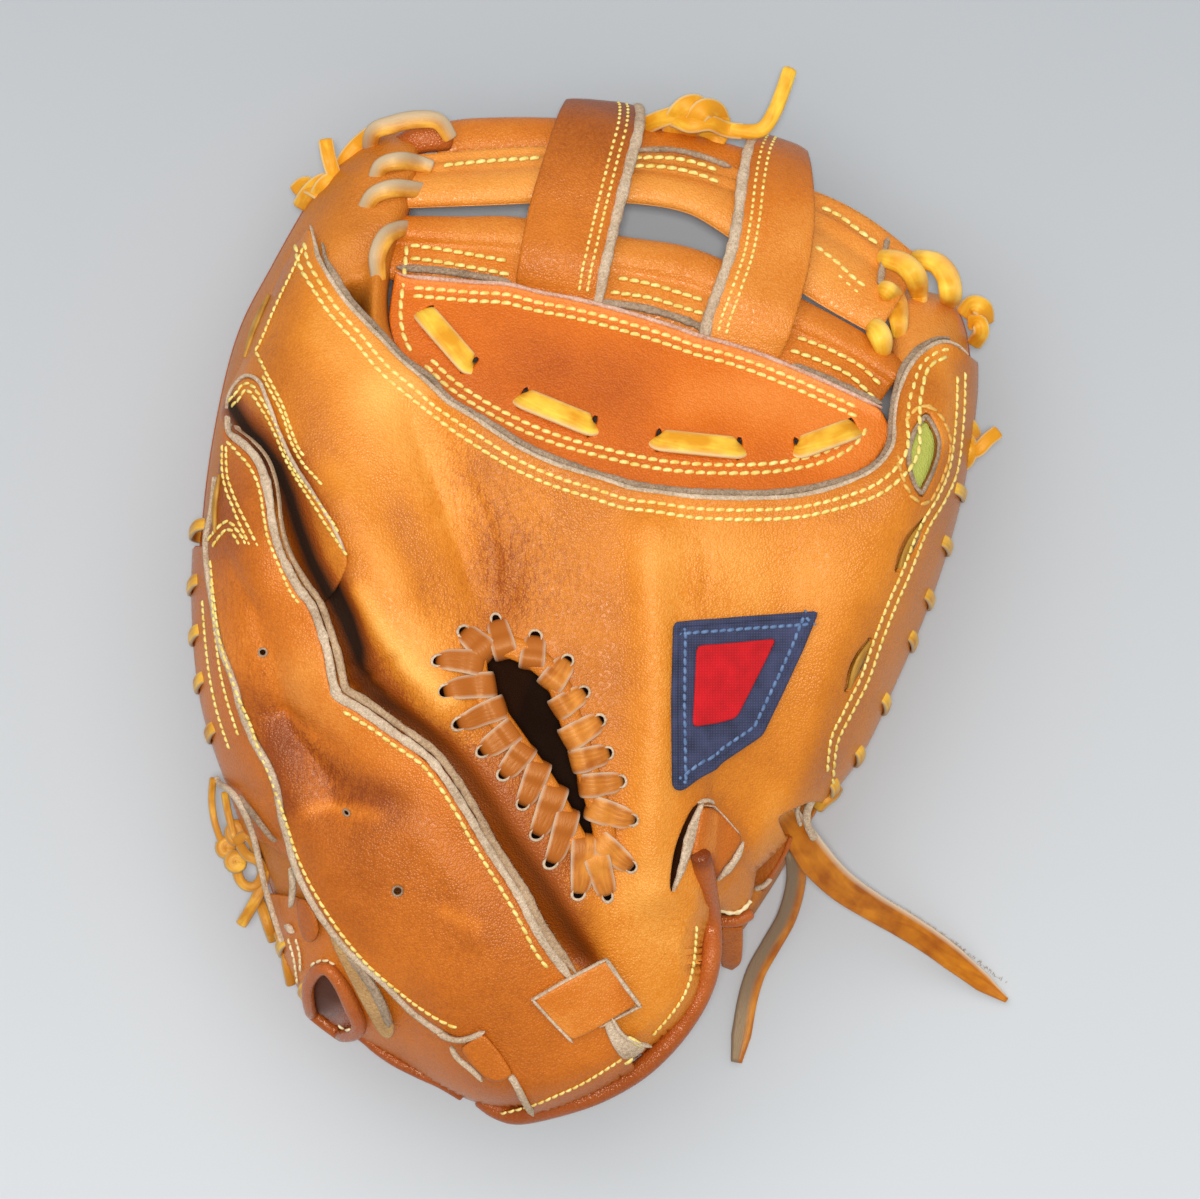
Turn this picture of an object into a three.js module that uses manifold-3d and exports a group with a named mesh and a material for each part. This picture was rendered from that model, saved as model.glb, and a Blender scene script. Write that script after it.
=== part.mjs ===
// A softball catcher's mitt in tan leather, lying palm down on its padded rim.
// Millimetres, +Z up, +Y towards the web, +X towards the thumb. The origin is on the
// surface that it lies on, under the middle of the mitt.
// The mitt's body is a horseshoe of sections that fan out from the crotch between thumb
// and fingers. u counts the sections from the finger tip (0) round the wrist to the thumb
// tip (24), and v runs along a section from the outer seam (0) to the crotch (1).
import * as THREE from "three";
import { mergeVertices } from "three/addons/utils/BufferGeometryUtils.js";
import Module from "manifold-3d";

const wasm = await Module();
wasm.setup();

// Driving dimensions
const LEATHER = 2.4;
const GAP = 0.3;
const LAYER_ONE = GAP;
const LAYER_TWO = LAYER_ONE + LEATHER + 2 * GAP;
const LAYER_THREE = LAYER_TWO + LEATHER + GAP;
const RIM_ROLL = 36;
const MOUTH_ROLL = 9;
const NOTCH_ROLL = 7;
const ROUNDNESS = 2.3;
const RIM_WIDTH = 22;
const REST_WIDTH = 9;
const FULL_SECTION = 64;
const POCKET_RISE = 48;
const CROTCH_LIFT = 18;
const PAD_THICKNESS = 15;
const HEEL_HEIGHT = 31;
const HEEL_ROLL = 8;
const LACE = { width: 6.5, thickness: 2.6 };
const THONG = { width: 8.5, thickness: 2.8 };
const PIPING_RADIUS = 2.6;
const WELT_RADIUS = 1.4;
const BINDING_RADIUS = 1.5;
const MIDDLE = { x: 2.93, y: 2.43 };
const WEB = { height: 83, slope: -0.46, tilt: -0.1, arch: 6, middle: 18, half: 75, crotch: 45 };
const ROLL = { height: 8, centre: 0.5, half: 0.52 };
const STRAP_THICKNESS = 3.4;

// Rows of values, each under its column's name.
const table = (columns, rows) =>
  rows.map((row) => Object.fromEntries(columns.map((name, i) => [name, row[i]])));

// One row for each section of the horseshoe. inner and outer are its ends in plan; crest,
// middle and shoulder are the back's heights along it, drop how far it falls at the crotch's
// edge, seam the height of the outer seam, pocket the height of the palm's hollow, hollow how
// far the hand's space is open (0 to 1), and mouth how far the section opens at the wrist
// (0 to 1). At the wrist the back has its own edge, hem, at its own height, hemHeight.
const SECTIONS = table(
  [
    "inner", "outer", "crest", "middle", "shoulder", "drop",
    "seam", "pocket", "hollow", "mouth", "hem", "hemHeight",
  ],
  [
    [[-59, 145], [-76, 134], 44, 47, 44, 6, 36, 0, 0, 0],
    [[-50, 139], [-85, 122], 54, 58, 54, 8, 38, 6, 0, 0],
    [[-52, 122], [-96, 103], 62, 67, 61, 9, 40, 14, 0, 0],
    [[-57, 106], [-106, 83], 70, 77, 68, 9, 42, 22, 0.1, 0],
    [[-59, 92], [-112, 59], 78, 87, 75, 9, 44, 30, 0.7, 0],
    [[-57, 80], [-115, 31], 85, 94, 80, 7, 46, 38, 1, 0],
    [[-49, 70], [-116, 1], 91, 99, 83, 4, 48, 44, 1, 0],
    [[-40, 62], [-113, -29], 95, 102, 84, 2, 48, 47, 1, 0],
    [[-30, 55.5], [-105, -58], 97, 104, 84, 1, 46, 48, 1, 0],
    [[-19, 49], [-95, -88], 98, 104, 82, 1, 43, 48, 1, 0],
    [[-8, 43.8], [-85, -116], 98, 104, 79, 1, 40, 46, 1, 0],
    [[3, 39.6], [-59, -133], 98, 104, 77, 1, 38, 44, 1, 0, [-59.3, -133.8], 39],
    [[13, 37.2], [-28, -144], 98, 103, 76, 1, 20, 42, 1, 1, [-27, -147], 50],
    [[23, 35.4], [5, -134], 98, 102, 78, 1, 18, 42, 1, 1, [2, -139.5], 64],
    [[33, 34.4], [32, -116], 98, 101, 80, 1, 18, 42, 1, 1, [29, -119], 71],
    [[44, 33.8], [49, -95], 97, 99, 81, 1, 18, 44, 1, 1, [35, -93], 73],
    [[54, 33.8], [64, -71], 95, 97, 79, 1, 22, 46, 1, 0.8, [60, -66], 64],
    [[64, 35], [79, -46], 93, 95, 77, 1, 46, 46, 1, 0, [79.6, -46.7], 47.5],
    [[73, 37], [93, -21], 90, 92, 75, 1, 47, 44, 1, 0],
    [[81, 40.5], [104, 4], 86, 88, 72, 2, 46, 38, 1, 0],
    [[88.5, 47], [112, 28], 80, 82, 69, 3, 44, 32, 0.9, 0],
    [[92.5, 58], [116, 49], 73, 75, 65, 5, 42, 24, 0.5, 0],
    [[91.5, 76], [118, 67], 64, 66, 60, 8, 40, 14, 0.1, 0],
    [[92, 91], [117, 82], 54, 56, 53, 8, 38, 6, 0, 0],
    [[98, 97], [111, 94], 44, 46, 44, 6, 36, 0, 0, 0],
  ],
);
const LAST = SECTIONS.length - 1;

// Soft ridges (rise above 0) and valleys (below 0) of the back, each along one line in plan.
const BACK_FOLDS = [
  { fold: "index finger rest", from: [-48, 56], to: [-28, 2], width: 10, rise: -4.5 },
  { fold: "ridge beside the flap", from: [-72, 30], to: [-42, -28], width: 9, rise: 4 },
  { fold: "ridge under the finger hole", from: [-42, -28], to: [-6, -88], width: 8, rise: 3 },
  { fold: "upper flap gap", from: [-98, 50], to: [-76, -16], width: 8, rise: -9 },
  { fold: "lower flap gap", from: [-72, -24], to: [-4, -104], width: 7, rise: -7 },
  { fold: "thumb tendon ridge", from: [20, 22], to: [21, -82], width: 8, rise: 3.5 },
  { fold: "slope beside the patch", from: [62, 10], to: [52, -50], width: 16, rise: -3 },
  { fold: "thumb knuckle", from: [96, 36], to: [104, 60], width: 10, rise: 3 },
];
const FLAP_FOLDS = [
  { fold: "dent over the ring finger", from: [-86, -32], to: [-73, -56], width: 9, rise: -6 },
  { fold: "little finger hollow", from: [-92, 0], to: [-88, -26], width: 8, rise: -3 },
  { fold: "rise over the ridge", from: [-72, -20], to: [-34, -56], width: 9, rise: 2 },
  { fold: "heel bulge", from: [-52, -72], to: [-30, -100], width: 22, rise: 4 },
];

// Outlines of the back's leather panels in plan, run round each panel. A side that lies
// outside the mitt lets the panel run on to the seam or hem.
const CROTCH_EDGE = [
  [-81, 115], [-79, 107], [-74, 98], [-68, 90], [-58, 79], [-46, 67], [-32, 57.5], [-16, 48], [5, 39.5],
  [29, 35.5],
  [53, 34.5], [74, 37.5], [87, 44], [92, 52], [94, 62], [97, 70], [102, 77], [109, 80], [114, 78],
  [117, 71],
];
const FLAP_EDGE = [
  [-107, 62], [-106, 56], [-101, 49.5], [-96, 41], [-93, 31], [-90, 19], [-85, 8], [-80, -2],
  [-77, -12],
  [-75.5, -20], [-71, -25.5], [-61, -31.5], [-50, -39], [-40, -49], [-31, -61], [-22, -75], [-11, -92],
  [-1, -106],
];
const FLAP_LOWER_EDGE = [
  [-32, -126], [-38, -125], [-46, -120], [-55, -112], [-64, -103], [-73, -91], [-82, -82], [-87, -75],
  [-90, -65],
  [-91.5, -53], [-94, -42], [-96, -34], [-101, -28], [-104, -17], [-107, -7], [-109.5, 5], [-111, 19],
  [-111.5, 26],
  [-107.5, 32], [-108, 42], [-109, 54],
];
const PANELS = {
  main_back: [
    ...CROTCH_EDGE, [135, 70], [112, -50], [76, -58], [66, -56], [56, -61], [70, -90], [30, -160],
    [21, -131],
    [10, -120], [-5, -110], [-15, -93.5], [-26, -76.5], [-35, -63], [-44, -52], [-54, -42.5],
    [-64, -36], [-72, -31.5],
    [-67, -20], [-62, -8],
    [-66, 4], [-72, 16], [-78, 28], [-85, 42], [-91, 56], [-97, 66], [-100, 71], [-97, 76], [-97, 84],
    [-94, 94],
    [-90, 102], [-85, 110],
  ],
  strip_panel: [
    [-101, 69.5], [-97.5, 65], [-91.8, 55.6], [-85.6, 41.6], [-78.7, 27.6], [-72.7, 15.6], [-66.8, 3.6],
    [-62.9, -8],
    [-67.8, -19.6], [-73.8, -33], [-82, -12], [-88, 2], [-94, 16], [-98, 32], [-103, 46], [-108, 57],
  ],
  finger_flap: [
    ...FLAP_EDGE, [5, -117], [10, -128], [14, -135], [18, -150], [-20, -165], [-14, -149], [-20, -140],
    [-27, -132],
    ...FLAP_LOWER_EDGE,
  ],
  pinky_panel: [
    [-112, 19], [-105, 18], [-103.5, 4], [-100, -14], [-94.5, -30], [-90, -43], [-88, -56], [-86, -66],
    [-84, -76],
    [-92, -70], [-97, -68], [-112, -60], [-130, -40], [-130, 20],
  ],
  heel_panel: [
    [-85, -85], [-76, -88], [-65, -101], [-54, -111], [-46, -117], [-31, -123], [-19, -137],
    [-13, -150], [-20, -165],
    [-60, -150], [-90, -130], [-105, -95], [-98, -84],
  ],
};
const FINGER_HOLE = [
  [-31, -16], [-25, -11.5], [-17, -15], [-10, -24], [-7, -33], [-2.5, -44], [1, -57], [3.5, -71],
  [2, -73.5],
  [-3, -68], [-7, -61], [-11, -52], [-16, -44], [-22, -34], [-28, -24],
];
const THUMB_EYE = [
  [102.6, 59], [104.5, 54], [106.3, 48], [104.5, 42], [101, 36.5], [98.5, 42], [97, 48], [98.8, 54],
];
const PINKY_HOLE = [
  [-82, -112], [-78.5, -111.5], [-73.5, -118], [-69.5, -124], [-73, -125.5], [-79.5, -120],
];
const PATCH = [
  [27, -3.5], [45, -4.5], [70, 0], [61, -17], [53.5, -37], [47, -45], [40, -50], [30, -53], [27.5, -50],
];
const PATCH_FIELD = [[33.5, -10], [58, -7.5], [44, -31.5], [33, -34]];

// Leather colours
const finish = (color, roughness) => new THREE.MeshStandardMaterial({ color, roughness, metalness: 0 });
const TAN = finish(0xc9731f, 0.45);
const WEB_TAN = finish(0xb45a1a, 0.5);
const PALM_TAN = finish(0xb8641f, 0.5);
const LACE_YELLOW = finish(0xdc9a25, 0.6);
const PIPING_BROWN = finish(0x93451a, 0.4);
const NAVY = finish(0x252b49, 0.7);
const RED = finish(0xb01222, 0.8);
const LIME = finish(0xb6bd58, 0.7);

const clamp = (x, low, high) => Math.min(high, Math.max(low, x));
const smooth = (low, high, x) => {
  const t = clamp((x - low) / (high - low), 0, 1);
  return t * t * (3 - 2 * t);
};
const swell = (t) => (1 - (1 - clamp(t, 0, 1)) ** ROUNDNESS) ** (1 / ROUNDNESS);
const mix = (a, b, t) => a + (b - a) * t;

// A section's values at any u, by a smooth curve through the rows.
function sectionAt(u) {
  const i = clamp(Math.floor(u), 0, LAST - 1);
  const t = u - i;
  const rows = [i - 1, i, i + 1, i + 2].map((k) => SECTIONS[clamp(k, 0, LAST)]);
  const curve = (read) => {
    const [a, b, c, d] = rows.map(read);
    const bend = (2 * a - 5 * b + 4 * c - d) * t * t;
    return 0.5 * (2 * b + (c - a) * t + bend + (3 * b - 3 * c + d - a) * t ** 3);
  };
  const even = (read) => mix(read(rows[1]), read(rows[2]), smooth(0, 1, t));
  const at = { mouth: even((r) => r.mouth), hollow: even((r) => r.hollow), seam: even((r) => r.seam) };
  for (const key of ["crest", "middle", "shoulder", "pocket", "drop"]) at[key] = curve((r) => r[key]);
  at.hemHeight = even((r) => r.hemHeight ?? r.seam);
  for (const [key, other] of [["inner", "inner"], ["outer", "outer"], ["hem", "outer"]])
    at[key] = [0, 1].map((axis) => curve((r) => (r[key] ?? r[other])[axis]));
  at.tip = swell(Math.min(u, LAST - u) / 0.9);
  at.reach = Math.hypot(at.inner[0] - at.outer[0], at.inner[1] - at.outer[1]);
  at.span = Math.hypot(at.inner[0] - at.hem[0], at.inner[1] - at.hem[1]);
  at.scale = Math.min(1, at.reach / FULL_SECTION);
  return at;
}

function foldsAt(x, y, folds) {
  let z = 0;
  for (const { from, to, width, rise } of folds) {
    const [dx, dy] = [to[0] - from[0], to[1] - from[1]];
    const t = clamp(((x - from[0]) * dx + (y - from[1]) * dy) / (dx * dx + dy * dy), 0, 1);
    const away = Math.hypot(x - from[0] - dx * t, y - from[1] - dy * t);
    z += rise * Math.exp(-((away / width) ** 2));
  }
  return z;
}

// A point of the back's outside, before any leather is laid on it.
function backPoint(u, v, folds = BACK_FOLDS) {
  const s = sectionAt(u);
  const [x, y] = [0, 1].map((axis) => mix(s.hem[axis], s.inner[axis], v));
  const roll = swell((v * s.span) / Math.min(mix(RIM_ROLL, MOUTH_ROLL, s.mouth), 0.5 * s.span));
  const ends = s.shoulder * (1 - v) * (1 - 2 * v) + s.crest * v * (2 * v - 1);
  const plateau = ends + s.middle * 4 * v * (1 - v);
  const notch = swell(((1 - v) * s.span) / Math.min(NOTCH_ROLL, 0.4 * s.span));
  const edge = s.crest - s.drop;
  let z = s.hemHeight + (plateau + foldsAt(x, y, folds) - s.hemHeight) * roll;
  z = edge + (z - edge) * notch;
  return new THREE.Vector3(x, y, mix(mix(s.hemHeight, edge, v), z, s.tip));
}

// The palm side: round the rim, flat where it rests, then up into the ball pocket.
function palmPoint(u, v) {
  const s = sectionAt(u);
  const [x, y] = [0, 1].map((axis) => mix(s.outer[axis], s.inner[axis], v));
  const away = v * s.reach;
  const width = RIM_WIDTH * s.scale;
  const rim = s.seam * (1 - Math.sqrt(1 - (1 - Math.min(away / width, 1)) ** 2));
  const rise = smooth(0, Math.min(POCKET_RISE, 0.5 * s.reach), away - (RIM_WIDTH + REST_WIDTH) * s.scale);
  const pocket = (s.pocket + CROTCH_LIFT * smooth(0.55, 1, v) * smooth(0, 20, s.pocket)) * rise;
  const edge = s.crest - s.drop;
  const z = edge - (edge - rim - pocket) * swell(((1 - v) * s.reach) / Math.min(13, 0.4 * s.reach));
  return new THREE.Vector3(x, y, mix(mix(s.seam, edge, v), z, s.tip));
}

// The pad's hand side: against the back at the rim, and lower where the hand goes in.
function padTopPoint(u, v) {
  const s = sectionAt(u);
  const under = palmPoint(u, v);
  const opened = Math.max(smooth(0, 0.3, s.mouth), smooth(16, 34, v * s.reach));
  const inside = s.hollow * (1 - smooth(0.8, 0.93, v)) * opened;
  const floor = Math.max(HEEL_HEIGHT, under.z + PAD_THICKNESS);
  const heel = s.seam + (floor - s.seam) * swell((v * s.reach) / HEEL_ROLL);
  const back = backPoint(u, clamp(1 - ((1 - v) * s.reach) / s.span, 0, 1)).z;
  return new THREE.Vector3(under.x, under.y, mix(back, heel, inside));
}

// Stations of a section: at set distances round the rim, then by shares up to the crotch.
const RIM_STEPS = [0, 0.7, 2.5, 6, 12, RIM_WIDTH, RIM_WIDTH + REST_WIDTH];
const FIELD_STEPS = [0.18, 0.37, 0.56, 0.74, 0.88, 0.96, 1];
function stationsAt(u) {
  const s = sectionAt(u);
  const rim = RIM_STEPS.map((away) => (away * s.scale) / s.reach);
  const start = rim[rim.length - 1];
  return [...rim, ...FIELD_STEPS.map((share) => mix(start, 1, share))];
}
const TIP_STEPS = [0, 0.08, 0.28, 0.6, 1];
const BODY_COUNT = 32;
const BODY_STEPS = Array.from({ length: BODY_COUNT }, (_, i) => 1.5 + ((LAST - 3) * i) / (BODY_COUNT - 1));
const U_STEPS = [...TIP_STEPS, ...BODY_STEPS, ...TIP_STEPS.map((s) => LAST - s).reverse()];
const gridOf = (point) => U_STEPS.map((u) => stationsAt(u).map((v) => point(u, v)));

function normalOf(u, v, folds) {
  const step = 0.01;
  const [u0, u1] = [Math.max(0, u - step), Math.min(LAST, u + step)];
  const [v0, v1] = [Math.max(0, v - step), Math.min(1, v + step)];
  const along = backPoint(u1, v, folds).sub(backPoint(u0, v, folds));
  const across = backPoint(u, v1, folds).sub(backPoint(u, v0, folds));
  return along.cross(across).normalize();
}
const lifted = (u, v, lift, folds = BACK_FOLDS) =>
  backPoint(u, v, folds).addScaledVector(normalOf(u, v, folds), lift);

// A solid from triangles, with its faces turned outwards.
function solidOf(points, triangles) {
  const flat = new Float32Array(triangles.flat().flatMap((i) => [points[i].x, points[i].y, points[i].z]));
  const loose = new THREE.BufferGeometry().setAttribute("position", new THREE.BufferAttribute(flat, 3));
  const merged = mergeVertices(loose, 1e-3);
  const index = [...merged.index.array];
  const kept = [];
  for (let i = 0; i < index.length; i += 3) {
    const [a, b, c] = index.slice(i, i + 3);
    if (a !== b && b !== c && a !== c) kept.push([a, b, c]);
  }
  const vertProperties = merged.attributes.position.array;
  const build = (order) => {
    const triVerts = new Uint32Array(kept.flatMap(order));
    return new wasm.Manifold(new wasm.Mesh({ numProp: 3, vertProperties, triVerts }));
  };
  const made = build((t) => t);
  return made.volume() > 0 ? made : build(([a, b, c]) => [a, c, b]);
}

// A closed wall between two grids of the same size.
function sheetBetween(top, bottom) {
  const [rows, columns] = [top.length, top[0].length];
  const points = [...top.flat(), ...bottom.flat()];
  const at = (layer, i, j) => layer * rows * columns + i * columns + j;
  const triangles = [];
  const quad = (a, b, c, d) => triangles.push([a, b, c], [a, c, d]);
  for (let i = 0; i + 1 < rows; i++)
    for (let j = 0; j + 1 < columns; j++) {
      quad(at(0, i, j), at(0, i + 1, j), at(0, i + 1, j + 1), at(0, i, j + 1));
      quad(at(1, i, j), at(1, i, j + 1), at(1, i + 1, j + 1), at(1, i + 1, j));
    }
  for (let i = 0; i + 1 < rows; i++) {
    const end = columns - 1;
    quad(at(0, i + 1, 0), at(0, i, 0), at(1, i, 0), at(1, i + 1, 0));
    quad(at(0, i, end), at(0, i + 1, end), at(1, i + 1, end), at(1, i, end));
  }
  for (let j = 0; j + 1 < columns; j++) {
    quad(at(0, 0, j), at(0, 0, j + 1), at(1, 0, j + 1), at(1, 0, j));
    quad(at(0, rows - 1, j + 1), at(0, rows - 1, j), at(1, rows - 1, j), at(1, rows - 1, j + 1));
  }
  return solidOf(points, triangles);
}

// The solid of a geometry that has no index.
function solidFrom(geometry) {
  const position = geometry.attributes.position;
  const order = Array.from({ length: position.count }, (_, i) => i);
  const points = order.map((i) => new THREE.Vector3().fromBufferAttribute(position, i));
  return solidOf(points, order.filter((i) => i % 3 === 0).map((i) => [i, i + 1, i + 2]));
}

// Everything above one outline in plan.
function prismOver(outline, low = -20, high = 160) {
  const shape = new THREE.Shape(outline.map(([x, y]) => new THREE.Vector2(x, y)));
  const column = new THREE.ExtrudeGeometry(shape, { depth: high - low, bevelEnabled: false });
  return solidFrom(column.translate(0, 0, low));
}

function layer(from, folds) {
  const grid = (lift) => gridOf((u, v) => lifted(u, v, lift, folds));
  return sheetBetween(grid(from + LEATHER), grid(from));
}

// The u and v of a place in plan.
function locate(x, y) {
  let before = null;
  for (let u = 0; u <= LAST + 1e-9; u += 0.05) {
    const { hem, inner } = sectionAt(Math.min(u, LAST));
    const [dx, dy] = [inner[0] - hem[0], inner[1] - hem[1]];
    const side = (x - hem[0]) * dy - (y - hem[1]) * dx;
    const v = ((x - hem[0]) * dx + (y - hem[1]) * dy) / (dx * dx + dy * dy);
    if (before && side * before.side <= 0 && v > -0.3 && v < 1.3) {
      const t = before.side / (before.side - side || 1);
      return { u: clamp(mix(before.u, u, t), 0, LAST), v: clamp(mix(before.v, v, t), 0, 1) };
    }
    before = { u, v, side };
  }
  return { u: LAST, v: 0 };
}
const onBack = (x, y, lift, folds = BACK_FOLDS) => {
  const { u, v } = locate(x, y);
  return { point: lifted(u, v, lift, folds), up: normalOf(u, v, folds) };
};

// The web's middle surface.
function webHeight(x, y) {
  const arch = WEB.arch * (1 - ((x - WEB.middle) / WEB.half) ** 2);
  return WEB.height + WEB.slope * (y - WEB.crotch) + WEB.tilt * (x - WEB.middle) + arch;
}

// Sections of laces, straps and pipings, as [sideways, upwards]
const FLAT_CORNERS = [
  [1, 0.4], [0.7, 1], [-0.7, 1], [-1, 0.4], [-1, -0.4], [-0.7, -1], [0.7, -1], [1, -0.4],
];
const HEX_CORNERS = [[1, 0], [0.6, 1], [-0.6, 1], [-1, 0], [-0.6, -1], [0.6, -1]];
const stretched = (corners, wide, thick) => corners.map(([a, b]) => [(a * wide) / 2, (b * thick) / 2]);
const flatSection = (width, thickness) => stretched(FLAT_CORNERS, width, thickness);
const hexSection = (width, thickness) => stretched(HEX_CORNERS, width, thickness);
const roundSection = (radius, sides) =>
  Array.from({ length: sides }, (_, i) => {
    const turn = (2 * Math.PI * i) / sides;
    return [radius * Math.cos(turn), radius * Math.sin(turn)];
  });

// A section swept along stations, each with a point and the way that its upper face looks.
function sweep(stations, section, { closed = false, widths = null } = {}) {
  const count = stations.length;
  const rings = stations.map(({ point, up }, i) => {
    const next = stations[closed ? (i + 1) % count : Math.min(i + 1, count - 1)].point;
    const last = stations[closed ? (i + count - 1) % count : Math.max(i - 1, 0)].point;
    const along = next.clone().sub(last).normalize();
    const side = along.clone().cross(up).normalize();
    const rise = side.clone().cross(along).normalize();
    const wide = widths ? widths[i] : 1;
    return section.map(([a, b]) => point.clone().addScaledVector(side, a * wide).addScaledVector(rise, b));
  });
  const n = section.length;
  const triangles = [];
  for (let i = 0; i < (closed ? count : count - 1); i++)
    for (let j = 0; j < n; j++) {
      const [a, b] = [i * n, ((i + 1) % count) * n];
      const k = (j + 1) % n;
      triangles.push([a + j, b + j, b + k], [a + j, b + k, a + k]);
    }
  const end = (count - 1) * n;
  if (!closed) for (let j = 1; j + 1 < n; j++) triangles.push([0, j, j + 1], [end, end + j + 1, end + j]);
  return solidOf(rings.flat(), triangles);
}

// Stations along a smooth curve through [x, y, z] points, with a hand-set upper side.
const UP = new THREE.Vector3(0, 0, 1);
function pathPoints(rows, steps, closed) {
  const curve = new THREE.CatmullRomCurve3(rows.map((r) => new THREE.Vector3(...r)), closed);
  const points = curve.getSpacedPoints(steps);
  if (closed) points.pop();
  return points;
}
const airPath = (rows, steps) => pathPoints(rows, steps, false).map((point) => ({ point, up: UP }));
// The same for [x, y, lift] above the back, and above the web.
const backPath = (rows, steps, { folds = BACK_FOLDS, closed = false } = {}) =>
  pathPoints(rows, steps, closed).map((p) => onBack(p.x, p.y, p.z, folds));
function webUp(x) {
  const lean = (2 * WEB.arch * (x - WEB.middle)) / WEB.half ** 2 - WEB.tilt;
  return new THREE.Vector3(lean, -WEB.slope, 1).normalize();
}
function webPath(rows, steps) {
  const rise = rows.map(([x, y, lift]) => [x, y, webHeight(x, y) + lift / webUp(x).z]);
  return airPath(rise, steps).map(({ point }) => ({ point, up: webUp(point.x) }));
}

const mitt = new THREE.Group();
function add(name, made, material) {
  const { vertProperties, triVerts } = made.getMesh();
  const geometry = new THREE.BufferGeometry();
  geometry.setAttribute("position", new THREE.BufferAttribute(vertProperties, 3));
  geometry.setIndex(new THREE.BufferAttribute(triVerts, 1));
  geometry.computeVertexNormals();
  const mesh = new THREE.Mesh(geometry, material);
  mesh.name = name;
  mitt.add(mesh);
}

// Padded palm and rim
add("palm_pad", sheetBetween(gridOf(padTopPoint), gridOf(palmPoint)), PALM_TAN);

// Back panels
const layerOne = layer(LAYER_ONE, BACK_FOLDS);
const underFlap = layer(LAYER_ONE, FLAP_FOLDS);
const layerTwo = layer(LAYER_TWO, FLAP_FOLDS);
const mainBack = layerOne.intersect(prismOver(PANELS.main_back)).subtract(prismOver(FINGER_HOLE));
add("main_back", mainBack.subtract(prismOver(THUMB_EYE)), TAN);
add("strip_panel", layerOne.intersect(prismOver(PANELS.strip_panel)), TAN);
add("pinky_panel", underFlap.intersect(prismOver(PANELS.pinky_panel)), TAN);
add("heel_panel", underFlap.intersect(prismOver(PANELS.heel_panel)).subtract(prismOver(PINKY_HOLE)), TAN);
add("finger_flap", layerTwo.intersect(prismOver(PANELS.finger_flap)), TAN);

// The gap between thumb and fingers that the web fills, in plan.
function notchRegion(gap) {
  const edge = [];
  for (let u = 0.5; u <= LAST - 0.5; u += 0.5) {
    const [a, b] = [sectionAt(u - 0.1).inner, sectionAt(u + 0.1).inner];
    const [dx, dy] = [b[0] - a[0], b[1] - a[1]];
    const [x, y] = sectionAt(u).inner;
    const length = Math.hypot(dx, dy);
    edge.push([x - (dy / length) * gap, y + (dx / length) * gap]);
  }
  return prismOver([...edge, [130, 108], [130, 190], [-30, 190], [-49, 150]]);
}
const notch = notchRegion(0.6);

// A piece that follows the web, on a grid that runs along a line and across it.
function webSheet(rows, shares, profile) {
  const line = new THREE.CatmullRomCurve3(rows.map(({ at, half }) => new THREE.Vector3(...at, half)));
  const steps = rows.length * 2 - 1;
  const grid = (side) =>
    Array.from({ length: steps + 1 }, (_, i) => {
      const here = line.getPoint(i / steps);
      const along = line.getTangent(i / steps);
      const flat = Math.hypot(along.x, along.y);
      return shares.map((share) => {
        const x = here.x - (along.y / flat) * share * here.z;
        const y = here.y + (along.x / flat) * share * here.z;
        const { middle, thick } = profile(share);
        return new THREE.Vector3(x, y, webHeight(x, y) + middle + (side * thick) / 2);
      });
    });
  return sheetBetween(grid(1), grid(-1));
}

// Bars of the web: a flange at the lower edge (share -1) and a roll at the upper one (share 1)
function rolledProfile(share) {
  const round = Math.sqrt(Math.max(0, 1 - ((share - ROLL.centre) / ROLL.half) ** 2));
  return { middle: LEATHER / 2, thick: Math.max(LEATHER, ROLL.height * round) };
}
const tubeProfile = (share) => ({ middle: -5, thick: Math.max(1.6, 8 * Math.sqrt(1 - share ** 2)) });
const BAR_SHARES = [-1, -0.02, 0.15, 0.5, 0.85, 1];
const BARS = {
  web_lower_bar: [
    { at: [-60, 110.8], half: 7.6 }, { at: [-38, 109.5], half: 8.6 }, { at: [-20, 108], half: 9.8 },
    { at: [8, 102.5], half: 10 }, { at: [28, 98.7], half: 10.6 }, { at: [43, 93.2], half: 10 },
    { at: [64, 83.5], half: 9.2 }, { at: [80, 75.5], half: 8.4 }, { at: [92, 67.5], half: 7.6 },
  ],
  web_upper_bar: [
    { at: [-56, 127], half: 6.5 }, { at: [-26, 128.6], half: 7 }, { at: [-10, 129.3], half: 7 },
    { at: [13.5, 128.7], half: 6.6 }, { at: [31.5, 126], half: 6.8 }, { at: [44.4, 121.5], half: 8 },
    { at: [57, 116], half: 10 }, { at: [69, 110.5], half: 11.5 }, { at: [80, 104], half: 11.5 },
    { at: [96, 94], half: 10 },
  ],
  web_top_bar: [
    { at: [-45, 141.6], half: 4.6 }, { at: [-34, 143.2], half: 4.8 }, { at: [-10, 143.4], half: 4.8 },
    { at: [13.5, 141.4], half: 4.6 }, { at: [31.5, 138.6], half: 4.6 }, { at: [46, 135.4], half: 4.6 },
    { at: [56, 131.8], half: 4.2 },
  ],
};
add("web_lower_bar", webSheet(BARS.web_lower_bar, BAR_SHARES, rolledProfile).intersect(notch), TAN);
add("web_upper_bar", webSheet(BARS.web_upper_bar, BAR_SHARES, rolledProfile).intersect(notch), TAN);
add("web_top_bar", webSheet(BARS.web_top_bar, [-1, -0.6, 0, 0.6, 1], tubeProfile), TAN);

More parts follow.
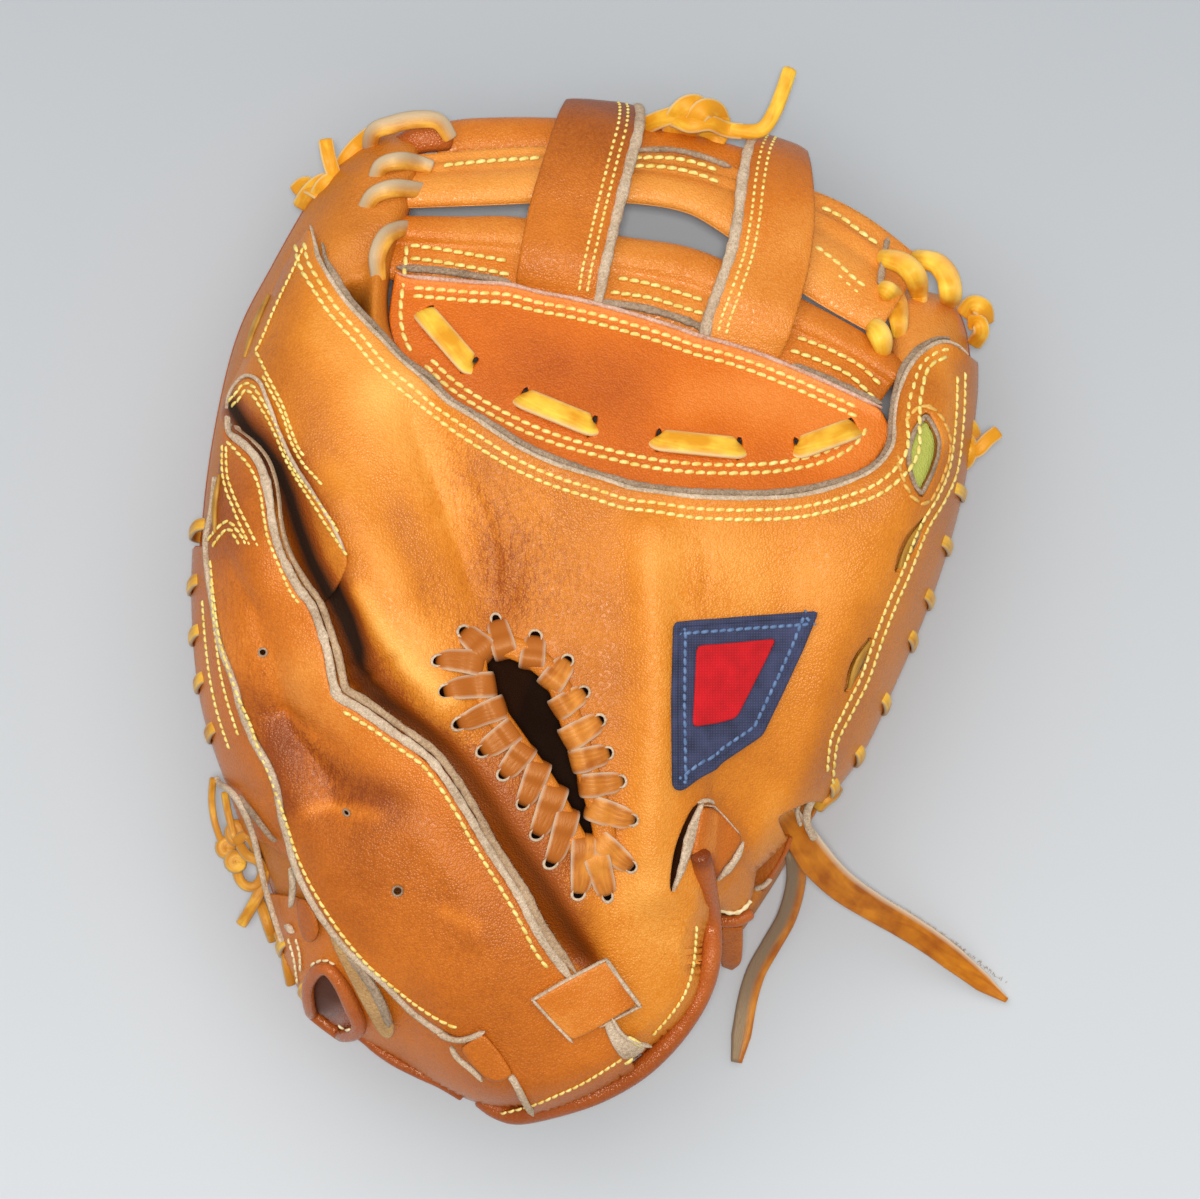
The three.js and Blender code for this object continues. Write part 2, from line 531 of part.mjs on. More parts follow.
// Lower panel of the web, from the bar's lower edge down to the crotch
const PANEL_TOP = [
  [-70, 103.4], [-56, 102], [-40, 100.2], [-23, 97.2], [-10, 94.2], [5, 90.6], [20, 87.4], [33, 84.2],
  [48, 78.8],
  [62.5, 72.2], [76, 65.4], [86, 59.6], [100, 50],
];
const panelField = [...PANEL_TOP].reverse().concat([[-70, 20], [100, 20]]);
const PANEL_MIDDLE = 60;
const PANEL_HALF = 46;
const PANEL_SHARES = [-0.8, -0.5, -0.2, 0.1, 0.4, 0.7, 1];
const PANEL_COLUMNS = [-64, -40, -16, 8, 32, 56, 80, 98];
const panelRows = PANEL_COLUMNS.map((x) => ({ at: [x, PANEL_MIDDLE], half: PANEL_HALF }));
const panelSheet = webSheet(panelRows, PANEL_SHARES, () => ({ middle: LEATHER / 2, thick: LEATHER }));
add("web_panel", panelSheet.intersect(notch).intersect(prismOver(panelField)), WEB_TAN);

// Straps over the bars
const STRAPS = {
  web_strap_left: {
    path: [
      [-8.6, 95.6, 4.6], [-8.2, 98, 5.2], [-7.4, 103, 7.6], [-6.4, 108, 8.9], [-4, 119, 8.4],
      [-1.6, 128, 8.9],
      [1.2, 138, 8.2], [3.6, 146, 5.4], [5, 151, -2], [5, 152, -9],
    ],
    widths: [25, 25, 25, 25.4, 25.6, 25.2, 24.6, 24, 22, 20],
  },
  web_strap_right: {
    path: [
      [48.2, 80.6, 4.6], [49, 83.6, 5.4], [50.6, 88, 7.4], [52.2, 93, 8.9], [55.6, 104, 8.6],
      [57.6, 116, 8.9],
      [58.2, 126, 7.2], [58.6, 135, 2.4], [59, 139.5, -4], [59, 140.5, -10],
    ],
    widths: [24.4, 24.4, 24.2, 23.8, 23.2, 22.6, 21.4, 19, 16.5, 15],
  },
};
const unitFlat = flatSection(1, STRAP_THICKNESS);
for (const [name, { path, widths }] of Object.entries(STRAPS)) {
  const steps = 12;
  const wide = Array.from({ length: steps + 1 }, (_, i) => {
    const place = (i / steps) * (widths.length - 1);
    const k = Math.min(Math.floor(place), widths.length - 2);
    return mix(widths[k], widths[k + 1], place - k);
  });
  add(name, sweep(webPath(path, steps), unitFlat, { widths: wide }), TAN);
}

// Lace loops that hold the web panel
const laceSection = hexSection(LACE.width, LACE.thickness);
const WEB_LACES = [
  { from: [-47, 87.5], to: [-36, 75] },
  { from: [-17.5, 62.5], to: [0.5, 56] },
  { from: [24, 51], to: [44.5, 48.8] },
  { from: [65.5, 49.4], to: [79, 53.6] },
];
WEB_LACES.forEach(({ from, to }, i) => {
  const rest = LEATHER + GAP + LACE.thickness / 2;
  const rows = [0, 0.33, 0.67, 1].map((t) => {
    const [x, y] = [0, 1].map((axis) => mix(from[axis], to[axis], t));
    return [x, y, rest + 4 * t * (1 - t)];
  });
  add(`web_lace_${i + 1}`, sweep(webPath(rows, 4), laceSection), LACE_YELLOW);
});

// A lace that lies over the back on one side and over the web on the other. Rows are [x, y, lift].
const overTop = ([x, y, lift]) => {
  const { u, v } = locate(x, y);
  const onPad = v < 0.999 && u > 0 && u < LAST;
  return [x, y, onPad ? backPoint(u, v).z + lift : webHeight(x, y) + ROLL.height / 2 + LEATHER / 2 + lift];
};

// Laces at the finger tip and the thumb tip
const TIP_LACES = {
  finger_tip_lace_1: [[-66, 135, 4], [-60, 141.5, 15], [-50, 148.5, 6], [-41, 149, 0]],
  finger_tip_lace_2: [[-63.5, 131, 3], [-57, 134.5, 4], [-49, 137, 3], [-43, 136, 2.4]],
  finger_tip_lace_3: [[-67, 119, 3], [-60, 122, 4], [-52, 126.5, 5], [-45, 128, 2.4]],
  finger_tip_lace_4: [[-62, 99, 4], [-60, 105, 5], [-55, 112, 5.4], [-48, 113.5, 1.7]],
  thumb_tip_lace_1: [[88, 104.5, 3], [94, 102, 10], [100.5, 95, 9], [103, 89.5, 5]],
  thumb_tip_lace_2: [[102, 105, 3], [106.5, 103, 8], [110.5, 97, 10], [112, 90, 6]],
  thumb_tip_lace_3: [[87.5, 96.5, 2.2], [91, 92, 6.4], [94.5, 85, 3.6], [96, 81, 1.8]],
  thumb_tip_lace_4: [[84.5, 84.5, 1.7], [88, 81.5, 7], [92, 77, 10], [95.4, 74, 4.6]],
};
for (const [name, rows] of Object.entries(TIP_LACES))
  add(name, sweep(airPath(rows.map(overTop), 4), laceSection), LACE_YELLOW);

// An outline moved out by a distance, as rows at one lift above the back
function ringRound(outline, distance, lift) {
  const n = outline.length;
  return outline.map(([x, y], i) => {
    const [a, b] = [outline[(i + n - 1) % n], outline[(i + 1) % n]];
    const [dx, dy] = [b[0] - a[0], b[1] - a[1]];
    const length = Math.hypot(dx, dy);
    return [x - (dy / length) * distance, y + (dx / length) * distance, lift];
  });
}

// Rolled edging of the index finger's hole
const EDGING = { inset: 3.4, width: 6.2, thickness: 2.4, clear: 0.9 };
const edgingRows = ringRound(FINGER_HOLE, EDGING.inset, LAYER_TWO + EDGING.thickness / 2 + EDGING.clear);
const edgingSection = hexSection(EDGING.width, EDGING.thickness);
const edgingPath = backPath(edgingRows, 24, { closed: true });
add("finger_hole_edge", sweep(edgingPath, edgingSection, { closed: true }), TAN);

// Thin pieces that lie on the back: the patch, its field, and the keepers over the flap
const PLATE_MARGIN = 1;
function plate(outline, lift, thickness, { folds = BACK_FOLDS, steps = 3 } = {}) {
  const box = new THREE.Box2().setFromPoints(outline.map(([x, y]) => new THREE.Vector2(x, y)));
  const size = box.getSize(new THREE.Vector2());
  const along = (low, length, share) => low - PLATE_MARGIN + (length + 2 * PLATE_MARGIN) * share;
  const grid = (rise) =>
    Array.from({ length: steps + 1 }, (_, i) => {
      const x = along(box.min.x, size.x, i / steps);
      return Array.from({ length: steps + 1 }, (_, j) => {
        const y = along(box.min.y, size.y, j / steps);
        return onBack(x, y, rise, folds).point;
      });
    });
  return sheetBetween(grid(lift + thickness), grid(lift)).intersect(prismOver(outline));
}
const PATCH_THICKNESS = 1.2;
const PATCH_LIFT = LAYER_TWO + 0.2;
const FIELD_THICKNESS = 0.9;
const FIELD_LIFT = PATCH_LIFT + PATCH_THICKNESS + GAP + 0.1;
const EYE = { middle: [101.8, 48], share: 0.88, lift: LAYER_ONE + 0.2, thickness: 1.2 };
const eyeInlay = THUMB_EYE.map((p) => [0, 1].map((axis) => mix(EYE.middle[axis], p[axis], EYE.share)));
add("patch", plate(PATCH, PATCH_LIFT, PATCH_THICKNESS, { steps: 4 }), NAVY);
add("patch_field", plate(PATCH_FIELD, FIELD_LIFT, FIELD_THICKNESS), RED);
add("thumb_eye", plate(eyeInlay, EYE.lift, EYE.thickness, { steps: 2 }), LIME);
const KEEPER_LARGE = [[-16, -116], [6.5, -103], [17, -117.5], [-3.5, -129]];
const KEEPER_SMALL = [[-39, -129], [-31, -125], [-22, -138.5], [-30, -140.5]];
const SUEDE_TAB = [[6.5, -124.5], [11.5, -121.6], [19, -130], [11, -135.5]];
const TRIM = 2;
const TAB = { lift: LAYER_THREE + 0.4, thickness: 1.6 };
add("keeper_large", plate(KEEPER_LARGE, LAYER_THREE, TRIM, { folds: FLAP_FOLDS }), TAN);
add("keeper_small", plate(KEEPER_SMALL, LAYER_THREE, TRIM, { folds: FLAP_FOLDS }), TAN);
const suedeTab = plate(SUEDE_TAB, TAB.lift, TAB.thickness, { folds: FLAP_FOLDS, steps: 2 });
add("suede_tab", suedeTab, PALM_TAN);
const WRIST_LOOP = [
  [34.5, -59.4], [40.5, -60.6], [46.5, -68.4], [45, -72], [41.5, -77], [36, -76.6], [32, -72],
];
add("wrist_loop", plate(WRIST_LOOP, PATCH_LIFT, TRIM), TAN);

// Piping of the wrist opening
const PIPING_RUN = { from: 11.9, to: 15, steps: 17, onFlap: 13.3, offFlap: 13.7, clear: 2 * GAP, rise: 1 };
const pipingPath = Array.from({ length: PIPING_RUN.steps + 1 }, (_, i) => {
  const u = mix(PIPING_RUN.from, PIPING_RUN.to, i / PIPING_RUN.steps);
  const layers = mix(LAYER_THREE, LAYER_TWO, smooth(PIPING_RUN.onFlap, PIPING_RUN.offFlap, u));
  const point = lifted(u, 0, layers + PIPING_RADIUS + PIPING_RUN.clear);
  point.z = sectionAt(u).hemHeight + PIPING_RUN.rise;
  return { point, up: UP };
});
const PIPING_END = [[42.4, -90, 5.4], [39, -85, 2.6], [35.6, -81, 2.4]];
for (const [x, y, more] of PIPING_END) {
  const { point } = onBack(x, y, LAYER_TWO + PIPING_RADIUS + more);
  pipingPath.push({ point, up: UP });
}
add("wrist_piping", sweep(pipingPath, roundSection(PIPING_RADIUS, 6)), PIPING_BROWN);

// Welts in the outer seam
const WELT_CLEAR = 0.5;
function welt(from, to, steps) {
  const path = Array.from({ length: steps + 1 }, (_, i) => {
    const u = mix(from, to, i / steps);
    const point = lifted(u, 0, WELT_RADIUS + WELT_CLEAR);
    point.z = sectionAt(u).seam - WELT_RADIUS - WELT_CLEAR;
    return { point, up: UP };
  });
  return sweep(path, roundSection(WELT_RADIUS, 5));
}
add("rim_welt_fingers", welt(0.5, 11.4, 24), PIPING_BROWN);
add("rim_welt_thumb", welt(17.2, 23.5, 14), PIPING_BROWN);

// The two thongs that hang out at the wrist and lie on the surface
const thongSection = flatSection(THONG.width, THONG.thickness);
const WRIST_THONG_1 = [
  [59.5, -59, 62], [62, -63.5, 62.6], [65, -69, 59], [69.5, -76, 51.5], [76, -83.5, 42],
  [85.5, -90.5, 31.5],
  [94.5, -95.5, 22.5], [103.5, -101.5, 14.5], [112.5, -109, 7.6], [120, -115, 3.2],
  [127.5, -118.6, 1.7],
];
const WRIST_THONG_2 = [
  [60.6, -69, 33.2], [62.6, -76, 33.4], [62.8, -83.4, 26.4], [60.4, -93, 17], [55.6, -101.5, 9.5],
  [51, -109.5, 5], [48.4, -118, 2.5], [47.2, -127, 1.7], [46, -137.5, 1.6],
];
add("wrist_thong_1", sweep(airPath(WRIST_THONG_1, 8), thongSection), TAN);
add("wrist_thong_2", sweep(airPath(WRIST_THONG_2, 9), thongSection), TAN);

// Heel: the cuff under the piping's end, its binding and tab, and the band beside it
const band = (rows, width) => sweep(airPath(rows, 3), hexSection(width, LEATHER));
add("heel_cuff", band([[48.4, -83.6, 68], [47.6, -87.5, 66], [46.4, -91.5, 63]], 9), TAN);
const bindingPath = airPath([[41, -94, 60.6], [50.6, -93, 60.6]], 1);
add("heel_binding", sweep(bindingPath, roundSection(BINDING_RADIUS, 6)), PIPING_BROWN);
add("heel_tab", band([[44.9, -95.3, 59.6], [44.2, -102, 53], [43.8, -107.4, 46]], 6.6), TAN);
add("wrist_band", band([[58.4, -68.6, 62], [55.6, -76, 57], [52.4, -84, 51]], 7), TAN);

// Little finger's loop at the heel, with its two tongues
const LOOP = { inset: 2.4, radius: 1.9, sunk: 0.2 };
const loopRows = ringRound(PINKY_HOLE, LOOP.inset, LAYER_TWO + LOOP.radius - LOOP.sunk);
const TONGUE_LEATHER = [[-88, -87], [-85, -89.6], [-81, -95], [-80.2, -99], [-84, -99.6], [-87, -94.5]];
const TONGUE_SUEDE = [
  [-76, -96], [-72, -100.5], [-67.5, -106.5], [-61.5, -114], [-58, -121], [-58.6, -125], [-61.5, -123],
  [-68.5, -111.5],
  [-74.5, -101.5],
];
const loopPath = backPath(loopRows, 14, { folds: FLAP_FOLDS, closed: true });
add("pinky_loop", sweep(loopPath, roundSection(LOOP.radius, 5), { closed: true }), PIPING_BROWN);
add("leather_tongue", plate(TONGUE_LEATHER, LAYER_TWO, TRIM, { folds: FLAP_FOLDS }), TAN);
add("suede_tongue", plate(TONGUE_SUEDE, LAYER_TWO + 0.6, TRIM, { folds: FLAP_FOLDS, steps: 4 }), PALM_TAN);

// Knots of the laces
const KNOTS = {
  tip_knot: { at: [-87.1, 130.6, 41.6], size: [5.4, 7, 5.4] },
  web_knot: { at: [29.4, 148.6, 40], size: [12.4, 4.4, 4.6] },
  thumb_knot: { at: [119.2, 86.3, 42.4], size: [3.4, 5, 4] },
  thumb_side_knot: { at: [122, 49.5, 47], size: [3.2, 5, 4] },
  heel_knot: { at: [-107.6, -78, 44], size: [4.2, 8, 4.6] },
};
for (const [name, { at, size }] of Object.entries(KNOTS)) {
  const lump = new THREE.IcosahedronGeometry(1, 1).scale(...size).translate(...at);
  add(name, solidFrom(lump), LACE_YELLOW);
}
const LACE_TAIL = [
  [42.6, 147.4, 40], [48, 147.4, 41], [53.6, 147.6, 42], [57.6, 153, 42], [61.5, 163, 40],
];
add("web_lace_tail", sweep(airPath(LACE_TAIL, 5), roundSection(2.2, 6)), LACE_YELLOW);

// The origin goes under the middle of the mitt.
mitt.position.set(-MIDDLE.x, -MIDDLE.y, 0);

export default mitt;
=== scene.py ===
"""A tan leather softball catcher's mitt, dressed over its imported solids. It lies palm down."""

import math

import bpy
import numpy as np
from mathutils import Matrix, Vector
from mathutils.geometry import delaunay_2d_cdt


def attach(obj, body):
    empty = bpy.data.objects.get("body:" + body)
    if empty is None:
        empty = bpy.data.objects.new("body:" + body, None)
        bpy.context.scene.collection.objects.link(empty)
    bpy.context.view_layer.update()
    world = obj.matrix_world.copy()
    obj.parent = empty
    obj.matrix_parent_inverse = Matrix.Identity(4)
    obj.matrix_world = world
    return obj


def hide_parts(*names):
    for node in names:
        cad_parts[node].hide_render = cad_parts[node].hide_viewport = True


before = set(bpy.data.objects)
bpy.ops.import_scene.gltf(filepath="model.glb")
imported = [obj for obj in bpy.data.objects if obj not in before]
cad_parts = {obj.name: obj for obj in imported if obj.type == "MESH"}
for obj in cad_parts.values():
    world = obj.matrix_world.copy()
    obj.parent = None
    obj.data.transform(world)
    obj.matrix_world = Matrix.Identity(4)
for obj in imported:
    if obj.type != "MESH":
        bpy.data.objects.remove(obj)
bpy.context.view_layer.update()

# The plan of the mitt is measured on the photograph: PIXEL millimetres to a pixel, from the pixel FROM.
PIXEL = 0.30
FROM = (585.0, 610.0)
PHOTO_WIDTH, PHOTO_HEIGHT = 1200, 1199
MIDDLE = np.array([2.93, 2.43, 0.0])
MM = 0.001
# Leather's thickness, and how high above the bare back each layer starts, in millimetres
LEATHER = 2.4
LAYER_ONE, LAYER_TWO, LAYER_THREE = 0.3, 3.3, 6.0
TOP_ONE, TOP_TWO = LAYER_ONE + LEATHER, LAYER_TWO + LEATHER
# How far each edge rolls in, and the palm's own sizes
RIM_ROLL, MOUTH_ROLL, NOTCH_ROLL, PALM_NOTCH_ROLL = 36, 9, 7, 13
ROUNDNESS = 2.3
RIM_WIDTH, REST_WIDTH = 22, 9
FULL_SECTION, POCKET_RISE, CROTCH_LIFT = 64, 48, 18
PAD_THICKNESS, HEEL_HEIGHT, HEEL_ROLL = 15, 31, 8
WEB = {"height": 83, "slope": -0.46, "tilt": -0.1, "arch": 6, "middle": 18, "half": 75, "crotch": 45}

# Sections of the horseshoe, from the finger tip round the wrist to the thumb tip
COLUMNS = "inner outer crest middle shoulder drop seam pocket hollow mouth hem hem_height".split()
SECTIONS = [
    ((-59, 145), (-76, 134), 44, 47, 44, 6, 36, 0, 0, 0),
    ((-50, 139), (-85, 122), 54, 58, 54, 8, 38, 6, 0, 0),
    ((-52, 122), (-96, 103), 62, 67, 61, 9, 40, 14, 0, 0),
    ((-57, 106), (-106, 83), 70, 77, 68, 9, 42, 22, 0.1, 0),
    ((-59, 92), (-112, 59), 78, 87, 75, 9, 44, 30, 0.7, 0),
    ((-57, 80), (-115, 31), 85, 94, 80, 7, 46, 38, 1, 0),
    ((-49, 70), (-116, 1), 91, 99, 83, 4, 48, 44, 1, 0),
    ((-40, 62), (-113, -29), 95, 102, 84, 2, 48, 47, 1, 0),
    ((-30, 55.5), (-105, -58), 97, 104, 84, 1, 46, 48, 1, 0),
    ((-19, 49), (-95, -88), 98, 104, 82, 1, 43, 48, 1, 0),
    ((-8, 43.8), (-85, -116), 98, 104, 79, 1, 40, 46, 1, 0),
    ((3, 39.6), (-59, -133), 98, 104, 77, 1, 38, 44, 1, 0, (-59.3, -133.8), 39),
    ((13, 37.2), (-28, -144), 98, 103, 76, 1, 20, 42, 1, 1, (-27, -147), 50),
    ((23, 35.4), (5, -134), 98, 102, 78, 1, 18, 42, 1, 1, (2, -139.5), 64),
    ((33, 34.4), (32, -116), 98, 101, 80, 1, 18, 42, 1, 1, (29, -119), 71),
    ((44, 33.8), (49, -95), 97, 99, 81, 1, 18, 44, 1, 1, (35, -93), 73),
    ((54, 33.8), (64, -71), 95, 97, 79, 1, 22, 46, 1, 0.8, (60, -66), 64),
    ((64, 35), (79, -46), 93, 95, 77, 1, 46, 46, 1, 0, (79.6, -46.7), 47.5),
    ((73, 37), (93, -21), 90, 92, 75, 1, 47, 44, 1, 0),
    ((81, 40.5), (104, 4), 86, 88, 72, 2, 46, 38, 1, 0),
    ((88.5, 47), (112, 28), 80, 82, 69, 3, 44, 32, 0.9, 0),
    ((92.5, 58), (116, 49), 73, 75, 65, 5, 42, 24, 0.5, 0),
    ((91.5, 76), (118, 67), 64, 66, 60, 8, 40, 14, 0.1, 0),
    ((92, 91), (117, 82), 54, 56, 53, 8, 38, 6, 0, 0),
    ((98, 97), (111, 94), 44, 46, 44, 6, 36, 0, 0, 0),
]
LAST = len(SECTIONS) - 1

# Soft ridges and valleys: from, to, width, rise
BACK_FOLDS = [
    ((-48, 56), (-28, 2), 10, -4.5),  # index finger rest
    ((-72, 30), (-42, -28), 9, 4),  # ridge beside the flap
    ((-42, -28), (-6, -88), 8, 3),  # ridge under the finger hole
    ((-98, 50), (-76, -16), 8, -9),  # upper flap gap
    ((-72, -24), (-4, -104), 7, -7),  # lower flap gap
    ((20, 22), (21, -82), 8, 3.5),  # thumb tendon ridge
    ((62, 10), (52, -50), 16, -3),  # slope beside the patch
    ((96, 36), (104, 60), 10, 3),  # thumb knuckle
]
FLAP_FOLDS = [
    ((-86, -32), (-73, -56), 9, -6),  # dent over the ring finger
    ((-92, 0), (-88, -26), 8, -3),  # little finger hollow
    ((-72, -20), (-34, -56), 9, 2),  # rise over the ridge
    ((-52, -72), (-30, -100), 22, 4),  # heel bulge
]


def column(name):
    """One column of the table of sections."""
    place = COLUMNS.index(name)
    stand_in = {"hem": "outer", "hem_height": "seam"}.get(name)
    return np.array([row[place] if place < len(row) else row[COLUMNS.index(stand_in)] for row in SECTIONS], float)


ROWS = {name: column(name) for name in COLUMNS}
# Leather goes round the rim, so the rim is drawn in by about its thickness: row of the table, millimetres
DRAWN_IN = [
    (0, 0.2), (1, 2.2), (2, 2.5), (4, 2.3), (5, 0.9), (6, 0.5), (7, 0.5), (8, 2.2), (9, 3.0), (10, 3.2),
    (11, 2.4), (12, 0.5), (16, 0), (17, 1.8), (18, 2.6), (20, 3.0), (21, 2.6), (23, 2.4), (24, 0.6),
]
way_in = ROWS["inner"] - ROWS["outer"]
way_in *= (np.interp(np.arange(LAST + 1), *zip(*DRAWN_IN)) / np.linalg.norm(way_in, axis=1))[:, None]
ROWS["outer"] = ROWS["outer"] + way_in
ROWS["hem"] = ROWS["hem"] + way_in
SMOOTHED = ["inner", "outer", "hem", "crest", "middle", "shoulder", "pocket", "drop"]


def ease(low, high, x):
    """A smooth step from 0 at low to 1 at high."""
    t = np.clip((x - low) / (high - low), 0, 1)
    return t * t * (3 - 2 * t)


def swell(t):
    """A round shoulder from 0 to 1."""
    return (1 - (1 - np.clip(t, 0, 1)) ** ROUNDNESS) ** (1 / ROUNDNESS)


def mix(a, b, t):
    return a + (b - a) * t


def section_at(u):
    """The values of the sections at any u, along a smooth curve through the rows."""
    i = np.clip(np.floor(u).astype(int), 0, LAST - 1)
    t = u - i
    at = {}
    for name, values in ROWS.items():
        a, b, c, d = (values[np.clip(i + k, 0, LAST)] for k in (-1, 0, 1, 2))
        s = t[..., None] if values.ndim == 2 else t
        if name in SMOOTHED:
            bend = (2 * a - 5 * b + 4 * c - d) * s * s
            at[name] = 0.5 * (2 * b + (c - a) * s + bend + (3 * b - 3 * c + d - a) * s**3)
        else:
            at[name] = mix(b, c, ease(0, 1, s))
    at["tip"] = swell(np.minimum(u, LAST - u) / 0.9)
    at["reach"] = np.hypot(*(at["inner"] - at["outer"]).T).T
    at["span"] = np.hypot(*(at["inner"] - at["hem"]).T).T
    at["scale"] = np.minimum(1, at["reach"] / FULL_SECTION)
    return at


def folds_at(x, y, folds):
    """How much the ridges and valleys raise each place."""
    z = np.zeros_like(x)
    for (x0, y0), (x1, y1), width, rise in folds:
        dx, dy = x1 - x0, y1 - y0
        t = np.clip(((x - x0) * dx + (y - y0) * dy) / (dx * dx + dy * dy), 0, 1)
        away = np.hypot(x - x0 - dx * t, y - y0 - dy * t)
        z += rise * np.exp(-((away / width) ** 2))
    return z


def back_point(u, v, folds):
    """A point of the back's outside, before any leather is laid on it."""
    s = section_at(u)
    x, y = (mix(s["hem"][..., k], s["inner"][..., k], v) for k in (0, 1))
    roll = swell(v * s["span"] / np.minimum(mix(RIM_ROLL, MOUTH_ROLL, s["mouth"]), 0.5 * s["span"]))
    ends = s["shoulder"] * (1 - v) * (1 - 2 * v) + s["crest"] * v * (2 * v - 1)
    plateau = ends + s["middle"] * 4 * v * (1 - v)
    notch = swell((1 - v) * s["span"] / np.minimum(NOTCH_ROLL, 0.4 * s["span"]))
    edge = s["crest"] - s["drop"]
    z = s["hem_height"] + (plateau + folds_at(x, y, folds) - s["hem_height"]) * roll
    z = edge + (z - edge) * notch
    return np.stack([x, y, mix(mix(s["hem_height"], edge, v), z, s["tip"])], -1)


def palm_point(u, v):
    """The palm side: round the rim, flat where it rests, then up into the ball pocket."""
    s = section_at(u)
    x, y = (mix(s["outer"][..., k], s["inner"][..., k], v) for k in (0, 1))
    away = v * s["reach"]
    rim = s["seam"] * (1 - np.sqrt(1 - (1 - np.minimum(away / (RIM_WIDTH * s["scale"]), 1)) ** 2))
    rise = ease(0, np.minimum(POCKET_RISE, 0.5 * s["reach"]), away - (RIM_WIDTH + REST_WIDTH) * s["scale"])
    pocket = (s["pocket"] + CROTCH_LIFT * ease(0.55, 1, v) * ease(0, 20, s["pocket"])) * rise
    edge = s["crest"] - s["drop"]
    z = edge - (edge - rim - pocket) * swell((1 - v) * s["reach"] / np.minimum(PALM_NOTCH_ROLL, 0.4 * s["reach"]))
    return np.stack([x, y, mix(mix(s["seam"], edge, v), z, s["tip"])], -1)


def pad_top_point(u, v):
    """The pad's hand side: against the back at the rim, and lower where the hand goes in."""
    s = section_at(u)
    under = palm_point(u, v)
    opened = np.maximum(ease(0, 0.3, s["mouth"]), ease(16, 34, v * s["reach"]))
    inside = s["hollow"] * (1 - ease(0.8, 0.93, v)) * opened
    floor = np.maximum(HEEL_HEIGHT, under[..., 2] + PAD_THICKNESS)
    heel = s["seam"] + (floor - s["seam"]) * swell(v * s["reach"] / HEEL_ROLL)
    back = back_point(u, np.clip(1 - (1 - v) * s["reach"] / s["span"], 0, 1), BACK_FOLDS)[..., 2]
    return np.stack([under[..., 0], under[..., 1], mix(back, heel, inside)], -1)


def lifted(u, v, lift, folds):
    """A point of the back with its lift along the normal, and that normal."""
    step = 0.01
    u0, u1 = np.maximum(0, u - step), np.minimum(LAST, u + step)
    v0, v1 = np.maximum(0, v - step), np.minimum(1, v + step)
    along = back_point(u1, v, folds) - back_point(u0, v, folds)
    across = back_point(u, v1, folds) - back_point(u, v0, folds)
    up = np.cross(along, across)
    up /= np.linalg.norm(up, axis=-1, keepdims=True) + 1e-12
    return back_point(u, v, folds) + up * np.asarray(lift)[..., None], up


# Places are worked out so many at a time, to spare memory
CHUNK = 4000
FINE_U = np.linspace(0, LAST, LAST * 16 + 1)
FINE = section_at(FINE_U)


def locate(x, y):
    """The u and v of places in plan."""
    hem, inner = FINE["hem"], FINE["inner"]
    dx, dy = (inner - hem).T
    u_found, v_found = np.full(len(x), float(LAST)), np.zeros(len(x))
    for start in range(0, len(x), CHUNK):
        px, py = x[start : start + CHUNK, None], y[start : start + CHUNK, None]
        side = (px - hem[:, 0]) * dy - (py - hem[:, 1]) * dx
        v = ((px - hem[:, 0]) * dx + (py - hem[:, 1]) * dy) / (dx * dx + dy * dy)
        hit = (side[:, 1:] * side[:, :-1] <= 0) & (v[:, 1:] > -0.3) & (v[:, 1:] < 1.3)
        k = hit.argmax(1)
        n = np.arange(len(k))
        t = side[n, k] / (side[n, k] - side[n, k + 1] + 1e-12)
        found = hit.any(1)
        u_found[start : start + CHUNK] = np.where(found, mix(FINE_U[k], FINE_U[k + 1], t), LAST)
        v_found[start : start + CHUNK] = np.where(found, np.clip(mix(v[n, k], v[n, k + 1], t), 0, 1), 0)
    return u_found, v_found


def web_height(x, y):
    """The height of the web's sheet."""
    arch = WEB["arch"] * (1 - ((x - WEB["middle"]) / WEB["half"]) ** 2)
    return WEB["height"] + WEB["slope"] * (y - WEB["crotch"]) + WEB["tilt"] * (x - WEB["middle"]) + arch


def web_up(x):
    """The way up, square to the web."""
    lean = 2 * WEB["arch"] * (x - WEB["middle"]) / WEB["half"] ** 2 - WEB["tilt"]
    up = np.stack([lean, np.full_like(lean, -WEB["slope"]), np.ones_like(lean)], -1)
    return up / np.linalg.norm(up, axis=-1, keepdims=True)


def lay(places, lift, on="back"):
    """Places in plan, put at a lift above the back, the flap or the web, and the way up there."""
    places = np.asarray(places, float)
    x, y = places[:, 0], places[:, 1]
    lift = np.broadcast_to(np.asarray(lift, float), x.shape)
    if on == "web":
        up = web_up(x)
        return np.stack([x, y, web_height(x, y) + lift / up[:, 2]], -1), up
    u, v = locate(x, y)
    return lifted(u, v, lift, FLAP_FOLDS if on == "flap" else BACK_FOLDS)


def plan(*pixels):
    """Pixels of the photograph as places in plan."""
    return (np.array(pixels, float) - FROM) * (PIXEL, -PIXEL)


def settled(line, lift, on="back"):
    """Places in plan whose leather, once it is lifted, lies over the line."""
    line = np.asarray(line, float)
    found = line.copy()
    for _ in range(6):
        found += 0.6 * (line - lay(found, lift, on)[0][:, :2])
    return found


def marked(on, lift, *pixels):
    """Pixels of the photograph as the places in plan whose leather is seen there."""
    return settled(plan(*pixels), lift, on)


# Finishes: each material is made of nodes that read the piece's own place or attributes.
def add_node(tree, kind, **values):
    made = tree.nodes.new("ShaderNode" + kind)
    for name, value in values.items():
        if name in made.inputs:
            made.inputs[name].default_value = value
        else:
            setattr(made, name, value)
    return made


def wire(tree, from_socket, to_socket):
    tree.links.new(from_socket, to_socket)
    return to_socket.node


